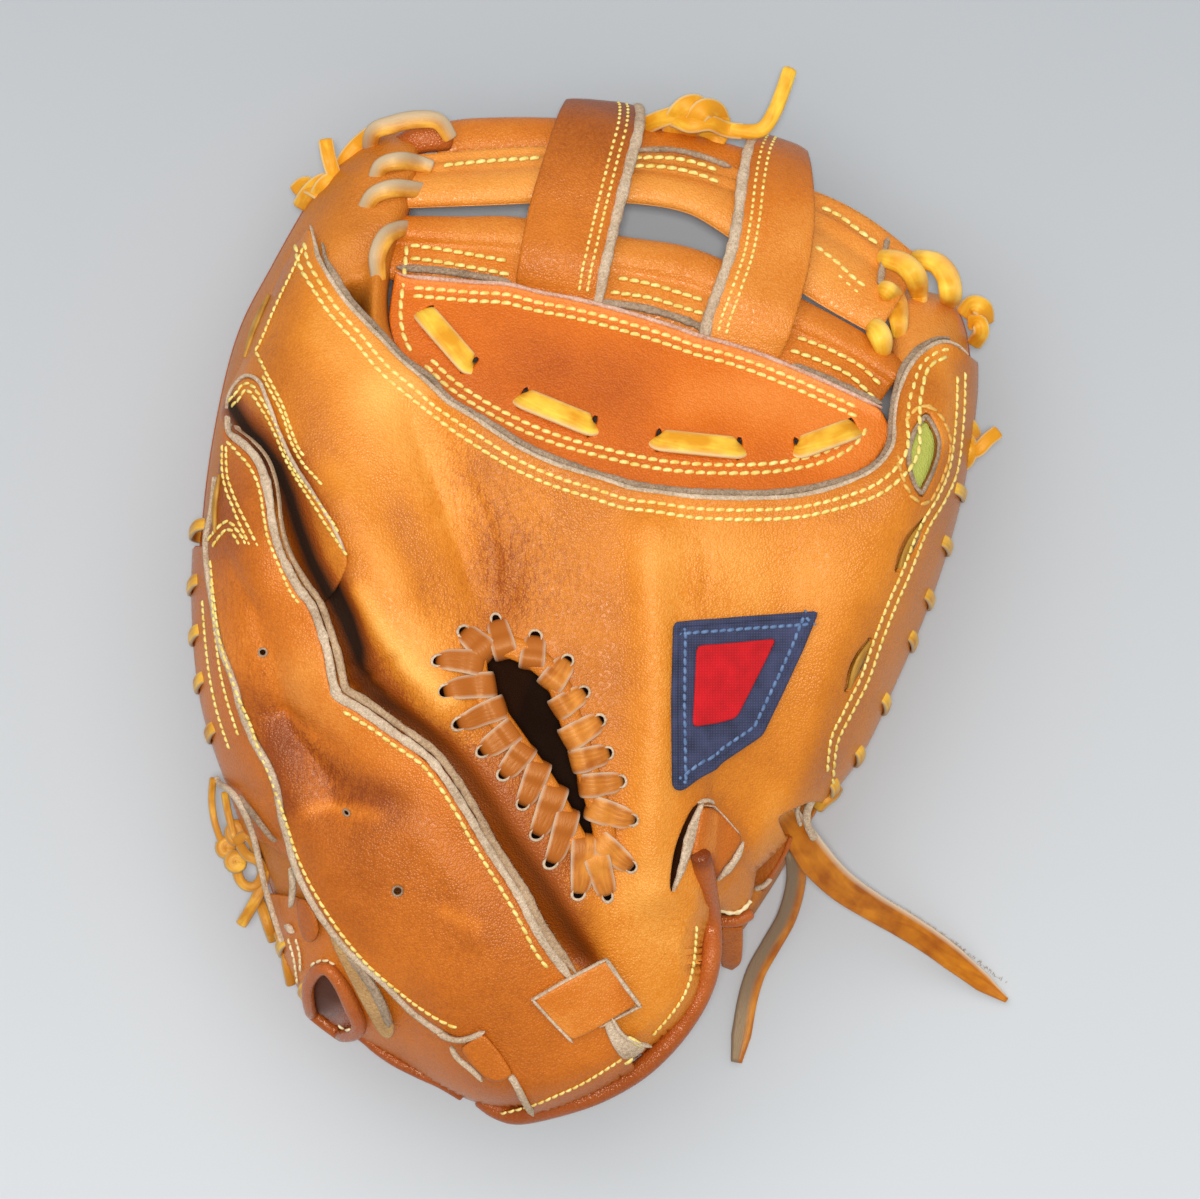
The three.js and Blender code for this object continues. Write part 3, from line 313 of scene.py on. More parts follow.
def cloud(tree, place, scale, detail=3.0, stretch=(1, 1, 1), distortion=0.0, turn=0.0):
    """Noise over the piece's own place, 0 to 1."""
    mapping = add_node(tree, "Mapping")
    mapping.inputs["Rotation"].default_value = (0, 0, turn)
    mapping.inputs["Scale"].default_value = stretch
    wire(tree, place, mapping.inputs["Vector"])
    noise = add_node(tree, "TexNoise", Scale=scale, Detail=detail, Distortion=distortion)
    wire(tree, mapping.outputs[0], noise.inputs["Vector"])
    return noise.outputs["Fac"]


def spread(tree, value, low, high, to_low=0.0, to_high=1.0):
    made = add_node(tree, "MapRange")
    made.clamp = True
    for name, number in zip(("From Min", "From Max", "To Min", "To Max"), (low, high, to_low, to_high)):
        made.inputs[name].default_value = number
    wire(tree, value, made.inputs["Value"])
    return made.outputs[0]


def figure(tree, operation, *values):
    made = add_node(tree, "Math", operation=operation)
    for socket, value in zip(made.inputs, values):
        if isinstance(value, (int, float)):
            socket.default_value = value
        else:
            wire(tree, value, socket)
    return made.outputs[0]


def tint(tree, share, low, high):
    """A colour between two, each a colour or another tint."""
    made = add_node(tree, "Mix", data_type="RGBA")
    for socket, value in ((made.inputs[0], share), (made.inputs[6], low), (made.inputs[7], high)):
        if isinstance(value, tuple):
            socket.default_value = (*value, 1)
        elif isinstance(value, (int, float)):
            socket.default_value = value
        else:
            wire(tree, value, socket)
    return made.outputs[2]


def relief(tree, shader, heights):
    """Bumps one over the other: (height, strength, distance in metres)."""
    before = None
    for height, strength, distance in heights:
        bump = add_node(tree, "Bump", Strength=strength, Distance=distance)
        wire(tree, height, bump.inputs["Height"])
        if before:
            wire(tree, before, bump.inputs["Normal"])
        before = bump.outputs[0]
    wire(tree, before, shader.inputs["Normal"])


def warped(tree, place, scale, amount):
    """The place, moved about a little, so that what reads it runs unevenly."""
    noise = add_node(tree, "TexNoise", Scale=scale, Detail=2.0)
    wire(tree, place, noise.inputs["Vector"])
    shift = add_node(tree, "VectorMath", operation="MULTIPLY_ADD")
    wire(tree, noise.outputs["Color"], shift.inputs[0])
    shift.inputs[1].default_value = (amount, amount, amount)
    wire(tree, place, shift.inputs[2])
    return shift.outputs[0]


def new_finish(name):
    made = bpy.data.materials.new(name)
    made.use_nodes = True
    tree = made.node_tree
    shader = tree.nodes["Principled BSDF"]
    place = add_node(tree, "TexCoord").outputs["Object"]
    return made, tree, shader, place


def attribute(tree, name):
    return add_node(tree, "Attribute", attribute_name=name).outputs["Fac"]


# A near-black painted shade, for the depth of a fold and the inside of the finger hole
PAINTED_SHADE = (0.016, 0.0035, 0.0008)


def grain_leather(name, dark, middle, light, roughness=0.36, crinkle=0.5, mottle=1.0):
    """Smooth leather: mottled, paler where tone is high from wear and painted highlights, darker where tone is low
    with painted shade, near black in the deepest, with pebbled grain and crinkles where it bends.
    """
    made, tree, shader, place = new_finish(name)
    broad = cloud(tree, place, 13, 2)
    blotch = cloud(tree, place, 60, 3, distortion=0.6)
    fleck = cloud(tree, place, 800, 3)
    pebble = add_node(tree, "TexVoronoi", Scale=1500.0, feature="F1")
    wire(tree, place, pebble.inputs["Vector"])
    grain = spread(tree, pebble.outputs["Distance"], 0.1, 0.72, 1.0, 0.0)
    cells = add_node(tree, "TexVoronoi", Scale=430.0, feature="DISTANCE_TO_EDGE")
    wire(tree, warped(tree, place, 170, 0.0030), cells.inputs["Vector"])
    cracks = spread(tree, cells.outputs["Distance"], 0.0, 0.10, 1.0, 0.0)
    fine = cloud(tree, place, 640, 3, (1.0, 0.20, 0.5), 1.0, -0.45)
    strands = spread(tree, figure(tree, "ABSOLUTE", figure(tree, "SUBTRACT", fine, 0.5)), 0.0, 0.06, 1.0, 0.0)
    bent = attribute(tree, "wrinkle")
    patches = spread(tree, cloud(tree, place, 22, 2), 0.42, 0.70, 0.06, 0.50)
    creased = figure(tree, "MULTIPLY", cracks, figure(tree, "MULTIPLY_ADD", bent, 0.6, patches))
    lined = figure(tree, "MULTIPLY", strands, figure(tree, "MULTIPLY_ADD", patches, 0.25, bent))
    share = figure(tree, "MULTIPLY_ADD", figure(tree, "SUBTRACT", broad, 0.5), 0.80 * mottle, 0.47)
    share = figure(tree, "MULTIPLY_ADD", figure(tree, "SUBTRACT", blotch, 0.5), 0.34 * mottle, share)
    share = figure(tree, "MULTIPLY_ADD", figure(tree, "SUBTRACT", fleck, 0.5), 0.22, share)
    share = figure(tree, "MULTIPLY_ADD", figure(tree, "SUBTRACT", grain, 0.6), 0.10, share)
    share = figure(tree, "MULTIPLY_ADD", creased, -0.14, share)
    share = figure(tree, "MULTIPLY_ADD", lined, -0.20, share)
    share = figure(tree, "MULTIPLY_ADD", bent, 0.10, share)
    wear_and_shading = attribute(tree, "tone")
    share = figure(tree, "ADD", share, wear_and_shading)
    lower = tint(tree, spread(tree, share, 0.0, 0.5), dark, middle)
    clean = tint(tree, spread(tree, share, 0.5, 1.0), lower, light)
    # Where tone is lowest, the colour goes to the near-black painted shade
    wire(tree, tint(tree, spread(tree, wear_and_shading, -1.5, -0.45, 1.0, 0.0), clean, PAINTED_SHADE), shader.inputs["Base Color"])
    relief(tree, shader, [
        (cloud(tree, place, 90, 3), 0.35 * crinkle, 0.0012),
        (creased, -1.0 * crinkle, 0.0007),
        (lined, -1.0 * crinkle, 0.0007),
        (fleck, 0.5, 0.0003),
        (grain, 0.8, 0.00016),
    ])
    gloss = figure(tree, "MULTIPLY_ADD", figure(tree, "SUBTRACT", blotch, 0.5), 0.35, roughness)
    gloss = figure(tree, "ADD", gloss, spread(tree, wear_and_shading, -1.4, -0.6, 0.55, 0.0))
    wire(tree, gloss, shader.inputs["Roughness"])
    shader.inputs["Specular IOR Level"].default_value = 0.5
    shader.inputs["Specular Tint"].default_value = (1.0, 0.76, 0.56, 1)
    return made


def nap(name, dark, light, roughness=0.95, fuzz=0.8):
    """Suede, the split side of leather: matt, fibrous and blotchy."""
    made, tree, shader, place = new_finish(name)
    fibre = figure(tree, "SUBTRACT", cloud(tree, place, 1300, 4, distortion=0.8), 0.5)
    blotch = figure(tree, "MULTIPLY_ADD", cloud(tree, place, 110, 3), 0.6, 0.2)
    share = figure(tree, "MULTIPLY_ADD", fibre, 1.0, blotch)
    wire(tree, tint(tree, spread(tree, share, 0.20, 0.80), dark, light), shader.inputs["Base Color"])
    relief(tree, shader, [(cloud(tree, place, 420, 5), fuzz, 0.0006), (cloud(tree, place, 1700, 4), fuzz, 0.0006)])
    shader.inputs["Specular IOR Level"].default_value = 0.12
    shader.inputs["Roughness"].default_value = roughness
    shader.inputs["Sheen Weight"].default_value = 0.15
    shader.inputs["Sheen Roughness"].default_value = 0.6
    shader.inputs["Sheen Tint"].default_value = (1.0, 0.86, 0.70, 1)
    return made


def rawhide(name, dark, light, pale):
    """Lace leather: a waxed grain side, and a fibrous flesh side where fuzz is high."""
    made, tree, shader, place = new_finish(name)
    run = add_node(tree, "UVMap", uv_map="run").outputs[0]
    streak = cloud(tree, run, 260, 5, (0.22, 1.0, 1.0), 0.8)
    share = figure(tree, "ADD", streak, figure(tree, "SUBTRACT", cloud(tree, place, 110, 3), 0.5))
    share = figure(tree, "ADD", share, attribute(tree, "tone"))
    colour = tint(tree, spread(tree, share, 0.3, 0.75), dark, light)
    wire(tree, tint(tree, attribute(tree, "fuzz"), colour, pale), shader.inputs["Base Color"])
    fibre = cloud(tree, run, 1400, 5, (0.3, 1.0, 1.0))
    relief(tree, shader, [(streak, 0.5, 0.0006), (fibre, 0.5, 0.0003)])
    shader.inputs["Roughness"].default_value = 0.42
    shader.inputs["Specular Tint"].default_value = (1.0, 0.75, 0.4, 1)
    return made


def cotton(name, dark, light):
    """Waxed sewing thread."""
    made, tree, shader, place = new_finish(name)
    share = cloud(tree, place, 700, 3)
    wire(tree, tint(tree, spread(tree, share, 0.3, 0.7), dark, light), shader.inputs["Base Color"])
    relief(tree, shader, [(cloud(tree, place, 2600, 2), 0.5, 0.0002)])
    shader.inputs["Roughness"].default_value = 0.55
    return made


def weave(name, dark, light, pitch):
    """Woven patch cloth: warp over weft at a real pitch."""
    made, tree, shader, place = new_finish(name)
    waves = []
    for way in ("X", "Y"):
        wave = add_node(tree, "TexWave", Scale=0.314 / pitch, bands_direction=way)
        wire(tree, place, wave.inputs["Vector"])
        waves.append(wave.outputs["Fac"])
    cloth = figure(tree, "MULTIPLY", *waves)
    share = figure(tree, "ADD", figure(tree, "MULTIPLY", cloth, 0.5), cloud(tree, place, 180, 4))
    wire(tree, tint(tree, spread(tree, share, 0.3, 0.95), dark, light), shader.inputs["Base Color"])
    relief(tree, shader, [(cloth, 0.6, 0.0002), (cloud(tree, place, 900, 3), 0.3, 0.0003)])
    shader.inputs["Roughness"].default_value = 0.9
    return made


TAN = grain_leather("tan_leather", (0.34, 0.070, 0.005), (0.72, 0.225, 0.015), (0.96, 0.44, 0.085))
FLAP_TAN = grain_leather("flap_leather", (0.27, 0.050, 0.004), (0.64, 0.165, 0.010), (0.90, 0.35, 0.060),
                         crinkle=0.6)
WEB_TAN = grain_leather("web_leather", (0.34, 0.05, 0.004), (0.70, 0.15, 0.006), (0.90, 0.29, 0.05),
                        0.40, 0.7, 0.6)
STRAP_TAN = grain_leather("strap_leather", (0.28, 0.055, 0.005), (0.64, 0.172, 0.012), (0.92, 0.40, 0.075),
                          0.30, 0.6)
PALM_TAN = grain_leather("palm_leather", (0.30, 0.065, 0.006), (0.62, 0.19, 0.016), (0.86, 0.37, 0.08), 0.42, 0.6)
LOOP_TAN = grain_leather("loop_leather", (0.28, 0.05, 0.006), (0.56, 0.14, 0.010), (0.76, 0.26, 0.04), 0.38, 0.5)
PIPING = grain_leather("piping_leather", (0.20, 0.035, 0.006), (0.44, 0.095, 0.012), (0.62, 0.19, 0.045),
                       0.26, 0.4)
# Lining leather for the undersides and insides, kept dark as painted shade; also laid as a painted shadow in the
# thong's mouth
SHADED_LINING = grain_leather("shaded_lining_leather", (0.08, 0.022, 0.007), (0.17, 0.052, 0.015), (0.30, 0.11, 0.035), 0.7, 0.6)
SUEDE = nap("suede_edge", (0.36, 0.235, 0.135), (0.82, 0.64, 0.45))
# Darker suede: painted shade where it lies under an edge or in a gap, and the own colour of the bars', punches'
# and eye's raw edges
GREY_SUEDE = nap("grey_suede", (0.17, 0.105, 0.06), (0.54, 0.39, 0.26))
# A darker copy of the suede: painted shade for the under side of the flap's raw edge
SHADED_FOLD_SUEDE = nap("shaded_fold_suede", (0.27, 0.155, 0.075), (0.66, 0.46, 0.28))
WEB_EDGE = nap("web_edge", (0.46, 0.20, 0.11), (0.86, 0.58, 0.44))
LACE = rawhide("lace_rawhide", (0.74, 0.30, 0.012), (1.0, 0.66, 0.07), (0.84, 0.62, 0.30))
WHIP_HIDE = rawhide("whip_hide", (0.42, 0.11, 0.012), (0.82, 0.31, 0.045), (0.62, 0.45, 0.30))
THONG_HIDE = rawhide("thong_hide", (0.36, 0.085, 0.004), (0.64, 0.21, 0.010), (0.74, 0.57, 0.40))
SPLIT_HIDE = rawhide("split_hide", (0.40, 0.10, 0.012), (0.66, 0.24, 0.03), (0.25, 0.17, 0.105))
TIP_HIDE = rawhide("tip_hide", (0.56, 0.20, 0.018), (0.90, 0.46, 0.06), (0.52, 0.38, 0.23))
TIE_HIDE = rawhide("tie_hide", (0.56, 0.22, 0.02), (1.0, 0.58, 0.07), (0.50, 0.36, 0.20))
SLOT_HIDE = rawhide("slot_hide", (0.36, 0.16, 0.02), (0.66, 0.36, 0.06), (0.45, 0.30, 0.15))
PALE_THREAD = cotton("pale_thread", (0.72, 0.56, 0.26), (0.95, 0.84, 0.52))
TONGUE_SUEDE = nap("tongue_suede", (0.36, 0.17, 0.05), (0.72, 0.42, 0.16))
THREAD = cotton("seam_thread", (0.74, 0.50, 0.07), (1.0, 0.86, 0.32))
NAVY = weave("patch_cloth", (0.018, 0.022, 0.045), (0.060, 0.066, 0.14), 0.0008)
RED = weave("patch_field_cloth", (0.42, 0.000, 0.003), (0.70, 0.003, 0.010), 0.0008)
PATCH_THREAD = cotton("patch_thread", (0.07, 0.13, 0.26), (0.16, 0.25, 0.42))
EYE_THREAD = cotton("eye_thread", (0.60, 0.28, 0.04), (0.86, 0.50, 0.10))
LIME = grain_leather("inlay_leather", (0.40, 0.42, 0.06), (0.54, 0.56, 0.12), (0.66, 0.68, 0.24), 0.5, 0.3)


# Making pieces
def deselect():
    for o in bpy.context.selected_objects:
        o.select_set(False)


def finish_piece(obj, replaces=()):
    """Rides the piece on the mitt, after its modifiers are applied."""
    deselect()
    bpy.context.view_layer.objects.active = obj
    obj.select_set(True)
    for modifier in list(obj.modifiers):
        bpy.ops.object.modifier_apply(modifier=modifier.name)
    obj.select_set(False)
    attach(obj, "root")
    if replaces:
        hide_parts(*replaces)
    return obj


def mesh_piece(name, points, faces, finishes, marks=None, tones=None, run=None):
    """A mesh from points in the mitt's millimetres."""
    mesh = bpy.data.meshes.new(name)
    mesh.from_pydata(((np.asarray(points, float) - MIDDLE) * MM).tolist(), [], [list(f) for f in faces])
    for finish in finishes:
        mesh.materials.append(finish)
    if marks is not None:
        mesh.polygons.foreach_set("material_index", np.asarray(marks, np.int32))
    if tones is not None:
        for title, values in tones.items():
            layer = mesh.attributes.new(title, "FLOAT", "POINT")
            layer.data.foreach_set("value", np.asarray(values, np.float32))
    if run is not None:
        layer = mesh.uv_layers.new(name="run")
        corners = np.zeros(len(mesh.loops), np.int32)
        mesh.loops.foreach_get("vertex_index", corners)
        layer.data.foreach_set("uv", np.asarray(run, np.float32)[corners].ravel())
    mesh.polygons.foreach_set("use_smooth", np.ones(len(mesh.polygons), bool))
    mesh.update()
    obj = bpy.data.objects.new(name, mesh)
    bpy.context.scene.collection.objects.link(obj)
    return obj


def unit(rows):
    """Rows of vectors, each made one long."""
    return rows / (np.linalg.norm(rows, axis=-1, keepdims=True) + 1e-12)


def lengths_along(points):
    """How far along a line each of its points is."""
    return np.concatenate([[0], np.cumsum(np.linalg.norm(np.diff(points, axis=0), axis=1))])


def along(points, step, closed=False, corners=False):
    """Stations at even steps along a smooth line through points."""
    p = np.asarray(points, float)
    if corners:
        dense = np.concatenate([p, p[:1]]) if closed else p
    else:
        n = len(p)
        shares = np.linspace(0, 1, 16, endpoint=False)[:, None]
        parts = []
        for i in range(n if closed else n - 1):
            if closed:
                a, b, c, d = (p[(i + k) % n] for k in (-1, 0, 1, 2))
            else:
                a, b, c, d = (p[min(max(i + k, 0), n - 1)] for k in (-1, 0, 1, 2))
            bend = (2 * a - 5 * b + 4 * c - d) * shares**2
            parts.append(0.5 * (2 * b + (c - a) * shares + bend + (3 * b - 3 * c + d - a) * shares**3))
        dense = np.concatenate([*parts, p[:1] if closed else p[-1:]])
    length = lengths_along(dense)
    count = max(2, int(round(length[-1] / step)) + 1)
    at = np.linspace(0, length[-1], count)
    found = np.stack([np.interp(at, length, dense[:, k]) for k in range(p.shape[1])], -1)
    return found[:-1] if closed else found


def beside(line, distance):
    """A line in plan, moved sideways: to its left for a distance above 0."""
    line = np.asarray(line, float)
    way = unit(np.gradient(line, axis=0))
    return line + np.stack([-way[:, 1], way[:, 0]], -1) * np.asarray(distance)[..., None]


def beside_ring(ring, distance):
    """A closed line in plan, moved sideways."""
    return beside(np.concatenate([ring[-1:], ring, ring[:1]]), distance)[1:-1]


def softened(ring, times):
    """A closed line with its corners eased."""
    for _ in range(times):
        ring = (np.roll(ring, 1, 0) + 2 * ring + np.roll(ring, -1, 0)) / 4
    return ring


def away_from(places, line, closed=False):
    """How far places in plan are from a line."""
    line = np.asarray(line, float)
    ends = np.roll(line, -1, 0) if closed else line[1:]
    starts = line if closed else line[:-1]
    best = np.full(len(places), 1e9)
    for k in range(0, len(places), CHUNK):
        p = places[k : k + CHUNK, None]
        way = ends - starts
        t = np.clip(((p - starts) * way).sum(-1) / ((way**2).sum(-1) + 1e-12), 0, 1)
        best[k : k + CHUNK] = np.linalg.norm(p - starts - way * t[..., None], axis=-1).min(1)
    return best


def inside(places, outline):
    """Which places in plan lie inside an outline."""
    x, y = places[:, 0], places[:, 1]
    within = np.zeros(len(places), bool)
    for (x0, y0), (x1, y1) in zip(outline, np.roll(outline, -1, 0)):
        if y0 != y1:
            crosses = (y0 > y) != (y1 > y)
            within ^= crosses & (x < (x1 - x0) * (y - y0) / (y1 - y0) + x0)
    return within


def wound(loop):
    """A loop in plan, run counterclockwise."""
    loop = np.asarray(loop, float)
    x, y = loop.T
    return loop if (x * np.roll(y, -1) - y * np.roll(x, -1)).sum() > 0 else loop[::-1]


SILHOUETTE_U = np.linspace(0.02, LAST - 0.02, 460)
SILHOUETTE = wound(np.concatenate([section_at(SILHOUETTE_U)["hem"], section_at(SILHOUETTE_U[::-1])["inner"]]))
# Rows of places beside a cut edge and inside the rim, and the nearest that a place may lie to an edge
EDGE_ROWS = (0.3, 0.8, 1.5, 2.5)
RIM_ROWS = (0.12, 0.4, 0.9, 1.6, 2.5, 3.6)
NEAREST = 0.28


def field_places(edge, rings, trim, spacing, rim_gap):
    """Places at even spacing over a panel, clear of its edges."""
    low, high = edge.min(0), edge.max(0)
    gx, gy = np.meshgrid(np.arange(low[0], high[0], spacing), np.arange(low[1], high[1], spacing * 0.87))
    gx[1::2] += spacing / 2
    field = np.stack([gx.ravel(), gy.ravel()], -1)
    field = field[inside(field, edge)]
    field = field[away_from(field, edge, True) > EDGE_ROWS[-1] + 0.4 * spacing]
    field = field[inside(field, trim)]
    field = field[away_from(field, trim, True) > rim_gap]
    for ring in rings:
        field = field[away_from(field, ring, True) > EDGE_ROWS[2] + 0.4 * spacing]
    return field


def rim_places(edge):
    """Places in rows just inside the rim, where the back is steep."""
    at = section_at(np.arange(0.05, LAST - 0.05, 0.075))
    found = []
    for hem, inner in ((at["hem"], at["inner"]), (at["inner"], at["hem"])):
        way = (inner - hem) / np.linalg.norm(inner - hem, axis=1, keepdims=True)
        rim = np.concatenate([hem + way * d for d in RIM_ROWS])
        rim = rim[inside(rim, edge) & inside(rim, SILHOUETTE)]
        found.append(rim[away_from(rim, edge, True) > EDGE_ROWS[-1]])
    return np.concatenate(found)


def edge_places(edge, rings, trim):
    """Places in rows beside a panel's cut edges."""
    places = np.concatenate(
        [beside_ring(edge, side * d) for d in EDGE_ROWS for side in (1, -1)]
        + [beside_ring(ring, side * d) for ring in rings for d in EDGE_ROWS[:3] for side in (1, -1)])
    places = places[inside(places, edge)]
    keep = away_from(places, edge, True) > NEAREST
    for ring in rings:
        keep &= ~inside(places, ring) & (away_from(places, ring, True) > NEAREST)
    keep &= inside(places, trim) & (away_from(places, trim, True) > 0.1)
    return places[keep]


def triangles_within(bounds, places):
    """The triangles inside both the edge and the trim, and outside the holes: their spots and faces."""
    loops, start = [], 0
    for loop in bounds:
        loops.append(list(range(start, start + len(loop))))
        start += len(loop)
    found = delaunay_2d_cdt([Vector(p) for p in np.concatenate([*bounds, places])], [], loops, 0, 1e-5)
    wanted = {0, 1}
    faces = [f for f, sources in zip(found[2], found[5]) if wanted <= set(sources) and max(sources) <= 1]
    spots = np.array([v[:] for v in found[0]])
    used = np.unique(np.concatenate([np.array(f) for f in faces]))
    index = np.full(len(spots), -1)
    index[used] = np.arange(len(used))
    return spots[used], [[int(index[k]) for k in f] for f in faces]


def cut_leather(name, outline, lift, on, finish, replaces=(), holes=(), spacing=1.7, thickness=LEATHER,
                curl=None, tone=None, wrinkle=None, rounding=0.8, inner_finish=None, rim_finish=None, trim=None):
    """A panel of leather cut to an outline in plan, laid on the back, flap or web, and given its thickness."""
    edge = wound(softened(along(outline, 1.3, closed=True, corners=True), 2))
    rings = [wound(along(hole, 0.9, closed=True)) for hole in holes]
    on_back = trim is None
    trim = SILHOUETTE if on_back else trim
    rim_gap = RIM_ROWS[-1] + 0.4 * spacing if on_back else 0.5
    places = [field_places(edge, rings, trim, spacing, rim_gap), edge_places(edge, rings, trim)]
    if on_back:
        places.insert(1, rim_places(edge))
    spots, faces = triangles_within([edge, trim, *rings], np.concatenate(places))
    distance = away_from(spots, edge, True)
    for ring in rings:
        distance = np.minimum(distance, away_from(spots, ring, True))
    drop = rounding * (1 - np.sqrt(1 - (1 - np.minimum(distance / rounding, 1)) ** 2))
    height = lift + thickness - drop + (curl(spots, distance) if curl else 0)
    points, _ = lay(spots, height, on)
    shade = tone(spots) if tone else np.zeros(len(spots))
    bent = wrinkle(spots) if wrinkle else np.zeros(len(spots))
    finishes = [finish, inner_finish or SHADED_LINING, rim_finish or SUEDE]
    obj = mesh_piece(name, points, faces, finishes, tones={"tone": shade, "wrinkle": bent})
    wall = obj.modifiers.new("wall", "SOLIDIFY")
    wall.thickness = thickness * MM
    wall.offset = -1
    wall.material_offset = 1
    wall.material_offset_rim = 2
    return finish_piece(obj, replaces)


def widened(wide):
    """A sweep's scale that changes its width and keeps its thickness."""
    return np.stack([wide, np.ones(len(wide))], -1)


def rounded_ends(rings, way, thick):
    """Two smaller rings before the first ring and after the last, so that the ends close softly."""
    caps = []
    for end, sign in ((0, -1), (-1, 1)):
        centre = rings[end].mean(0)
        beyond = way[end] * sign * thick[end]
        caps.append([
            centre + (rings[end] - centre) * size + beyond * share for size, share in ((0.86, 0.30), (0.5, 0.5))])
    return np.concatenate([np.array(caps[0])[::-1], rings, np.array(caps[1])])


def sweep(name, stations, ups, section, finish, slot, replaces=(), closed=False, scale=None, fuzz=None, ends=0.6,
          tones=None):
    """A section, as (sideways, upwards) rows, run along stations, with rounded ends."""
    p, section = np.asarray(stations, float), np.asarray(section, float)
    up = np.broadcast_to(np.asarray(ups, float), p.shape)
    way = unit((np.roll(p, -1, 0) - np.roll(p, 1, 0)) if closed else np.gradient(p, axis=0))
    side = unit(np.cross(way, up))
    rise = np.cross(side, way)
    wide = np.ones((len(p), 2))
    if scale is not None:
        wide = np.asarray(scale, float).reshape(len(p), -1) * np.ones((1, 2))
    rings = p[:, None] + side[:, None] * section[None, :, :1] * wide[:, None, :1]
    rings += rise[:, None] * section[None, :, 1:] * wide[:, None, 1:]
    if not closed:
        rings = rounded_ends(rings, way, np.ptp(section[:, 1]) * wide[:, 1] * ends)
    n, m = rings.shape[:2]
    points = rings.reshape(-1, 3)
    faces = []
    for i in range(n if closed else n - 1):
        a, b = i * m, ((i + 1) % n) * m
        faces += [(a + j, a + (j + 1) % m, b + (j + 1) % m, b + j) for j in range(m)]
    if not closed:
        faces += [tuple(range(m))[::-1], tuple(range((n - 1) * m, n * m))]
    run = np.meshgrid(lengths_along(rings.mean(1)) * MM, lengths_along(section) * MM, indexing="ij")
    fuzzy = np.zeros(m)
    if callable(fuzz):
        fuzzy = fuzz(section / np.abs(section).max(0))
    elif fuzz is not None:
        fuzzy = np.clip((fuzz - section[:, 1] / (np.abs(section[:, 1]).max() + 1e-9)) * 1.5, 0, 1)
    shade = np.broadcast_to(0.0 if tones is None else tones, len(p))
    shade = shade if closed else np.pad(shade, 2, mode="edge")
    marks = {"fuzz": np.tile(fuzzy, n), "tone": np.repeat(shade, m)}
    obj = mesh_piece(name, points, faces, [finish], tones=marks, run=np.stack(run, -1).reshape(-1, 2))
    return finish_piece(obj, replaces) if slot else obj


def rounded(width, thickness, count=14, power=3.2):
    """A flat section with round edges."""
    t = np.linspace(0, 2 * np.pi, count, endpoint=False)
    c, s = np.cos(t), np.sin(t)
    across, up = np.sign(c) * abs(c) ** (2 / power), np.sign(s) * abs(s) ** (2 / power)
    return np.stack([across * width / 2, up * thickness / 2], -1)


def disc(radius, count=10):
    """A round section."""
    t = np.linspace(0, 2 * np.pi, count, endpoint=False)
    return np.stack([np.cos(t), np.sin(t)], -1) * radius


def half_split(section):
    """A lace turned so that its suede side shows along one edge."""
    return np.clip(0.5 - section[:, 0] * 2.2, 0, 1)


def cut_edges(section):
    """The pale cut edges of a lace, where its section is widest."""
    return np.clip((np.abs(section[:, 0]) - 0.78) * 6, 0, 1)


def join(objects, name):
    """Pieces joined into one, under a new name."""
    deselect()
    for o in objects:
        o.select_set(True)
    bpy.context.view_layer.objects.active = objects[0]
    bpy.ops.object.join()
    objects[0].name = name
    objects[0].select_set(False)
    return objects[0]


# Camera, straight above as the photograph was taken: its lens in millimetres, and its metres above MITT_LEVEL
LENS, CAMERA_HIGH, MITT_LEVEL = 300, 6.0, 0.06


def straight_above():
    middle = (plan((PHOTO_WIDTH / 2, PHOTO_HEIGHT / 2))[0] - MIDDLE[:2]) * MM
    camera = bpy.data.objects.new("camera", bpy.data.cameras.new("camera"))
    camera.data.lens = LENS
    camera.data.sensor_width = LENS * PHOTO_WIDTH * PIXEL * MM / CAMERA_HIGH
    camera.location = (*middle, CAMERA_HIGH + MITT_LEVEL)
    bpy.context.scene.collection.objects.link(camera)
    bpy.context.scene.camera = camera


straight_above()

# The two thongs at the wrist, grain side up, cut with a knife from suede-backed leather
THONG_WIDTH, THONG_THICKNESS = 8.5, 2.4
THONGS = {
    "wrist_thong_1": [
        (57.4, -58.6, 61.6), (60.0, -61.8, 62.6), (64.4, -68.0, 59.4), (69.8, -75.6, 51.5),
        (77.2, -83.0, 42), (86.6, -89.4, 31.5), (95.4, -94.6, 22.5), (104.7, -100.6, 14.5),
        (113.6, -107.3, 7.6), (120.8, -113.1, 3.2), (127.6, -118.2, 1.7),
    ],
    "wrist_thong_2": [
        (61.6, -69, 33.2), (63.4, -76, 33.4), (63.4, -83.4, 26.4), (60.8, -93, 17), (56.2, -101.5, 9.5),
        (51.8, -109.5, 5), (49.2, -118, 2.5), (47.6, -127, 1.7), (45.8, -137, 1.6),
    ],
}


def wrist_thong(name, finish, widths, lean, raw):
    """A thong: its widths along it, its lean at both ends, and the side and start of its raw edge."""
    path = along(THONGS[name], 1.2)
    lengths = lengths_along(path)
    share = lengths / lengths[-1]
    turn = np.interp(share, (0, 1), lean)
    up = np.stack([np.sin(turn), np.zeros(len(share)), np.cos(turn)], -1)
    section = rounded(THONG_WIDTH, THONG_THICKNESS, 20, 4)
    obj = sweep(name.replace("wrist_", "") + "_leather", path, up, section, finish, "tan_leather", [name],
                scale=widened(np.interp(share, *widths)), ends=0.1,
                fuzz=lambda rows: np.clip((rows[:, 0] * raw[0] - raw[1]) * 5, 0, 1))


